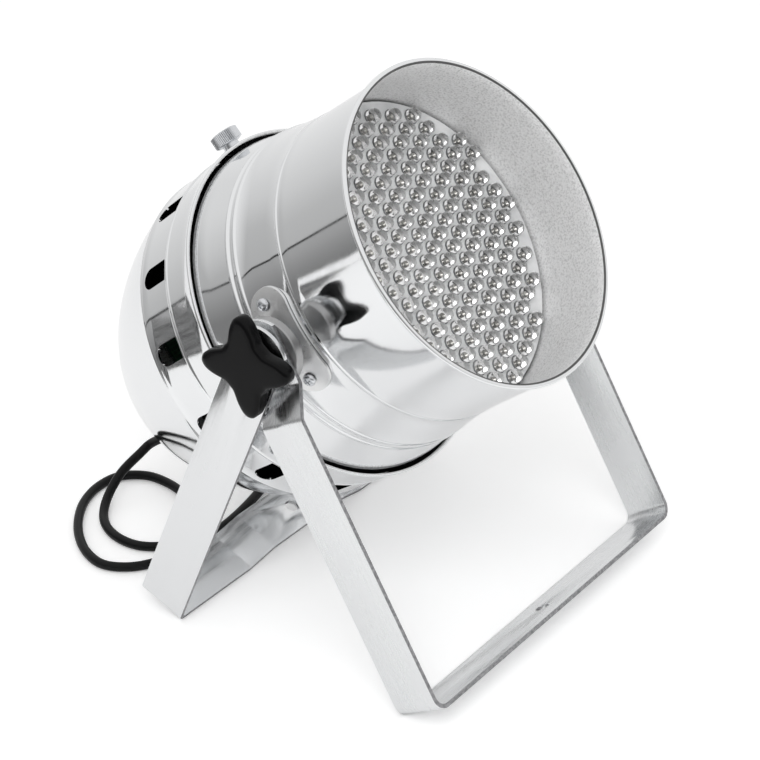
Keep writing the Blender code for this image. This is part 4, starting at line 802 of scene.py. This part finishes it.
for name, place in SIDE.items():
    foot = (0, 0, (KNOB_FROM + KNOB_FOOT) * MM)
    bpy.ops.mesh.primitive_circle_add(
        vertices=KNOB_POINTS, radius=KNOB_R * MM, fill_type="NGON", location=foot
    )
    knob = bpy.context.object
    knob.name = f"knob_piece_{name}"
    bpy.ops.object.transform_apply(location=True, rotation=True, scale=True)
    # The ring is pulled out to the lobes and in to the valleys, eight like points at a time
    for step in range(KNOB_POINTS // 8 + 1):
        wanted = math.tau * step / KNOB_POINTS
        pick(knob, lambda co: abs(off_lobe(co) - wanted) < 0.004)
        factor = (VALLEY_R + LOBE_HIGH * ((1 + math.cos(4 * wanted)) / 2) ** 1.7) / KNOB_R
        bpy.ops.transform.resize(value=(factor, factor, 1), center_override=(0, 0, 0))
        bpy.ops.object.mode_set(mode="OBJECT")
    bpy.ops.object.mode_set(mode="EDIT")
    bpy.ops.mesh.select_all(action="SELECT")
    bpy.ops.transform.resize(value=(0.90, 0.90, 1), center_override=(0, 0, 0))
    for rise, share in KNOB_SIDE:
        bpy.ops.mesh.extrude_region_move(TRANSFORM_OT_translate={"value": (0, 0, rise * MM)})
        bpy.ops.transform.resize(value=(share, share, 1), center_override=(0, 0, 0))
    bpy.ops.mesh.select_all(action="SELECT")
    bpy.ops.mesh.normals_make_consistent(inside=False)
    bpy.ops.object.mode_set(mode="OBJECT")
    hub = turn("hub", hub_outline, 64, closed=True)
    choose(hub, knob)
    bpy.ops.object.join()
    put(knob, place @ Matrix.Rotation(KNOB_TURN, 4, "Z"), 40)
    knob.data.materials.append(abs_black)
    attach(knob, f"knob_{name}")
    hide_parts(f"knob_{name}")

# The two brackets: 3 mm aluminium strip, bent, with rounded ends, polished on the faces and saw-cut on the
# edges, whose grey is darkened as painted shade. The front one steps outwards, so that its legs pass outside
# the rear one's.
FRONT_LEAN, REAR_LEAN, ALONG_STRIP = math.radians(-30.93), math.radians(22.52), (10, 1500, 10)
FRONT = Matrix.Translation(PIVOT) @ Matrix.Rotation(FRONT_LEAN, 4, "X")
REAR = Matrix.Translation(PIVOT) @ Matrix.Rotation(REAR_LEAN, 4, "X")
front_metal = scratched_metal(
    "polished aluminium strip, front", "e8e9ea", 0.2, 0.36, FRONT, ALONG_STRIP, 0.0004
)
rear_metal = scratched_metal(
    "polished aluminium strip, rear", "e8e9ea", 0.10, 0.28, REAR, ALONG_STRIP, 0.0004
)
# The edges: rougher, as saw-cut, and a darker grey than the faces as painted shade
saw_cut_painted_shade = mottled(
    "saw-cut aluminium edge, painted shade", {"Scale": 500, "Detail": 3}, [(0.3, "7c7c7e"), (0.7, "b4b4b6")],
    {"Metallic": 1, "Roughness": 0.45},
)[0]


def bend_path(corners, radii, steps=8):
    """The strip's middle line, its corners rounded to their radii."""
    path = [Vector(corners[0])]
    for before, corner, after, radius in zip(corners, corners[1:], corners[2:], radii):
        corner = Vector(corner)
        back_way = (Vector(before) - corner).normalized()
        ahead = (Vector(after) - corner).normalized()
        reach = radius / math.tan(back_way.angle(ahead) / 2)
        start, end = corner + back_way * reach, corner + ahead * reach
        centre = corner + (back_way + ahead).normalized() * math.hypot(radius, reach)
        for i in range(steps + 1):
            spoke = (start - centre).slerp(end - centre, i / steps).normalized() * radius
            path.append(centre + spoke)
    return path + [Vector(corners[-1])]


def bent_strip(name, path, width, top_r):
    """A strip bent along the path, mirrored, its two ends rounded about the pivot."""
    low = math.sqrt(top_r**2 - (width / 2) ** 2)
    crown = [low + (top_r - low) * math.sin(math.pi / 2 * i / 12) for i in range(13)]
    leg_x = path[0].x
    whole = [Vector((leg_x, height)) for height in crown[::-1]] + path[1:]
    whole += [Vector((-point.x, point.y)) for point in whole[::-1] if point.x > 0.001]
    bpy.ops.mesh.primitive_plane_add(size=0.001)
    made = bpy.context.object
    made.name = name
    bpy.ops.object.mode_set(mode="EDIT")
    bpy.ops.mesh.select_all(action="SELECT")
    bpy.ops.mesh.merge(type="CENTER")
    points = [Vector((x, -width / 2, z)) * MM for x, z in whole]
    bpy.ops.transform.translate(value=points[0])
    for before, after in zip(points, points[1:]):
        bpy.ops.mesh.extrude_region_move(TRANSFORM_OT_translate={"value": after - before})
    bpy.ops.mesh.select_all(action="SELECT")
    bpy.ops.mesh.extrude_region_move(TRANSFORM_OT_translate={"value": (0, width * MM, 0)})
    bpy.ops.object.mode_set(mode="OBJECT")
    for height in crown[1:]:
        share = math.sqrt(max(top_r**2 - height**2, 0.02)) / (width / 2)
        pick(made, lambda co: abs(co.z - height * MM) < 0.000001)
        bpy.ops.transform.resize(value=(1, share, 1), center_override=(0, 0, 0))
        bpy.ops.object.mode_set(mode="OBJECT")
    wall = made.modifiers.new("Wall", "SOLIDIFY")
    wall.thickness = STRIP * MM
    wall.offset = 0
    wall.use_even_offset = True
    bpy.ops.object.modifier_apply(modifier=wall.name)
    bpy.ops.object.mode_set(mode="EDIT")
    bpy.ops.mesh.select_all(action="SELECT")
    bpy.ops.mesh.normals_make_consistent(inside=False)
    bpy.ops.object.mode_set(mode="OBJECT")
    return made


def rod_between(radius, low, high, across=False):
    """A cutter for a round hole, along Z or along X."""
    bpy.ops.mesh.primitive_cylinder_add(vertices=64, radius=radius * MM, depth=(high - low) * MM)
    made = bpy.context.object
    along = Matrix.Rotation(math.pi / 2, 4, "Y") if across else Matrix.Identity(4)
    made.matrix_world = along @ Matrix.Translation((0, 0, (low + high) / 2 * MM))
    return made


def finish_strip(made, faces, place, body):
    """Breaks the strip's edges, gives its saw-cut sides the darker, painted-shade edge material and sets it
    in place.
    """
    break_edges(made, 0.25)
    made.data.materials.append(faces)
    made.data.materials.append(saw_cut_painted_shade)
    for face in made.data.polygons:
        face.material_index = 1 if abs(face.normal.y) > 0.9 else 0
    put(made, place, 30)
    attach(made, body)
    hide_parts(body)


END_R, PIVOT_HOLE, CLAMP_HOLE = 24.3, 5.4, 5
FRONT_WIDE, FRONT_STEP, FRONT_DROP = 35.5, 12.4, 253
REAR_WIDE, REAR_DROP, RAISED_DROP, RAMP_FOOT, RAMP_TOP = 36.7, 237.1, 230.6, 66, 42
FRONT_X, REAR_X = DISC_TO + PLAY + STRIP / 2, WASHER_TO + PLAY + STRIP / 2
OUT_X = FRONT_X + FRONT_STEP
front_corners = [(FRONT_X, 10), (FRONT_X, -24), (OUT_X, -44), (OUT_X, -FRONT_DROP), (0, -FRONT_DROP)]
front = bent_strip("bracket_front_piece", bend_path(front_corners, (6, 6, 9))[:-1], FRONT_WIDE, END_R)
for side in (-1, 1):
    # The step's notch, with 1 mm of room round the rear leg as it stands in the photograph
    bpy.ops.mesh.primitive_cube_add(size=1)
    notch = bpy.context.object
    notch.matrix_world = (
        Matrix.Rotation(REAR_LEAN - FRONT_LEAN, 4, "X")
        @ Matrix.Translation((side * REAR_X * MM, 0, -72 * MM))
        @ Matrix.Diagonal(((STRIP + 2) * MM, (REAR_WIDE + 2) * MM, 120 * MM, 1))
    )
    cut_with(front, [notch])
cut_with(front, [rod_between(PIVOT_HOLE, -200, 200, True), rod_between(CLAMP_HOLE, -270, -235)])
finish_strip(front, front_metal, FRONT, "front_bracket")

rear_corners = [(REAR_X, 10), (REAR_X, -REAR_DROP), (RAMP_FOOT, -REAR_DROP)]
rear_corners += [(RAMP_TOP, -RAISED_DROP), (0, -RAISED_DROP)]
rear = bent_strip("bracket_rear_piece", bend_path(rear_corners, (4, 3, 3))[:-1], REAR_WIDE, END_R)
cut_with(rear, [rod_between(PIVOT_HOLE, -200, 200, True), rod_between(CLAMP_HOLE, -250, -215)])
finish_strip(rear, rear_metal, REAR, "rear_bracket")

# The straps that hold the housing round the barrel, zinc-plated steel, and their screws. The top one is
# a knurled thumb screw, undone by hand to take the housing off.
finish_solids(["housing_strap_top", "housing_strap_left", "housing_strap_right"], zinc)
finish_solids(["board_spacer_1", "board_spacer_2", "board_spacer_3", "socket_latch"], zinc)
HOUSING_BAND_LONG, HOUSING_BAND_FALL, STRAP_AT = 29.7, 2.7, 14.5
housing_slope = math.atan2(HOUSING_BAND_FALL, HOUSING_BAND_LONG)
wall_r = HOUSING_RIM_R - STRAP_AT / HOUSING_BAND_LONG * HOUSING_BAND_FALL
seats = {}
for name, quarter in (("top", 0), ("left", math.tau / 3), ("right", 2 * math.tau / 3)):
    seats[name] = (
        CAN
        @ Matrix.Rotation(quarter, 4, "Z")
        @ Matrix.Translation((0, wall_r * MM, -(HOUSING_RIM_AT + STRAP_AT) * MM))
        @ Matrix.Rotation(-math.pi / 2 - housing_slope, 4, "X")
    )
KNURL_R, KNURL_HIGH, KNURL_AT, GROOVE_TURN = 10.3, 7.8, (0, 0, 9.6 * MM), 3.75
bpy.ops.mesh.primitive_cylinder_add(
    vertices=96, radius=KNURL_R * MM, depth=KNURL_HIGH * MM, location=KNURL_AT
)
knurl = bpy.context.object
bpy.ops.object.transform_apply(location=True, rotation=True, scale=True)
pick(knurl, lambda co: round(math.degrees(math.atan2(co.y, co.x)) / GROOVE_TURN) % 2 == 0)
# Every other point goes in, which leaves the ridges
bpy.ops.transform.resize(value=(0.95, 0.95, 1), center_override=(0, 0, 0))
bpy.ops.object.mode_set(mode="OBJECT")
shank = turn("thumb_screw_piece", [
    (0, 14.3), (8.2, 14.3), (9.3, 13.8), (9.6, 13.4), (9.6, 5.8), (9.2, 5.2), (8.4, 4.9), (6, 4.9), (6, 0.5),
    (5.7, 0.3), (3, 0.3), (3, -6), (0, -6),
], 64)
choose(knurl, shank)
bpy.ops.object.join()
shank.data.materials.append(zinc)
put(shank, seats["top"], 30)
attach(shank, "thumb_screw")
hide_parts("thumb_screw")
strap_head = [
    (0, 3.1), (2.0, 3.0), (3.4, 2.5), (4.2, 1.6), (4.5, 0.6), (4.4, 0.1), (2, 0.1), (2, -5), (0, -5),
]
for name in ("left", "right"):
    screw = cross_screw(f"strap_screw_{name}", strap_head, seats[name])
    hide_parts(f"housing_screw_{name}")

# The rear panel: a satin aluminium disc with the display, four buttons, the two data sockets and the
# gland of the lead.
panel_outline = [(0, 0), (61.4, 0), (62, -0.6), (62, -1.6), (61.6, -2.0), (0, -2.0)]
panel = turn("panel_disc", panel_outline, 128)
panel.data.materials.append(satin_inside)
put(panel, PANEL)
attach(panel, "can")
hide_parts("rear_panel")
smoked = mottled(
    "smoked acrylic window", {"Scale": 80}, [(0.3, "120303"), (0.7, "1c0505")], {"Roughness": 0.08}
)[0]
moulded = mottled(
    "moulded black nylon", {"Scale": 500, "Detail": 3}, [(0.3, "101011"), (0.7, "1b1b1c")], {"Roughness": 0.5}
)[0]
finish_solids(["display_window"], smoked)
finish_solids(["dmx_in_socket", "dmx_out_socket", "cable_gland", "gland_cap_nut"], moulded)
finish_solids([f"button_{i}" for i in range(1, 5)], moulded)
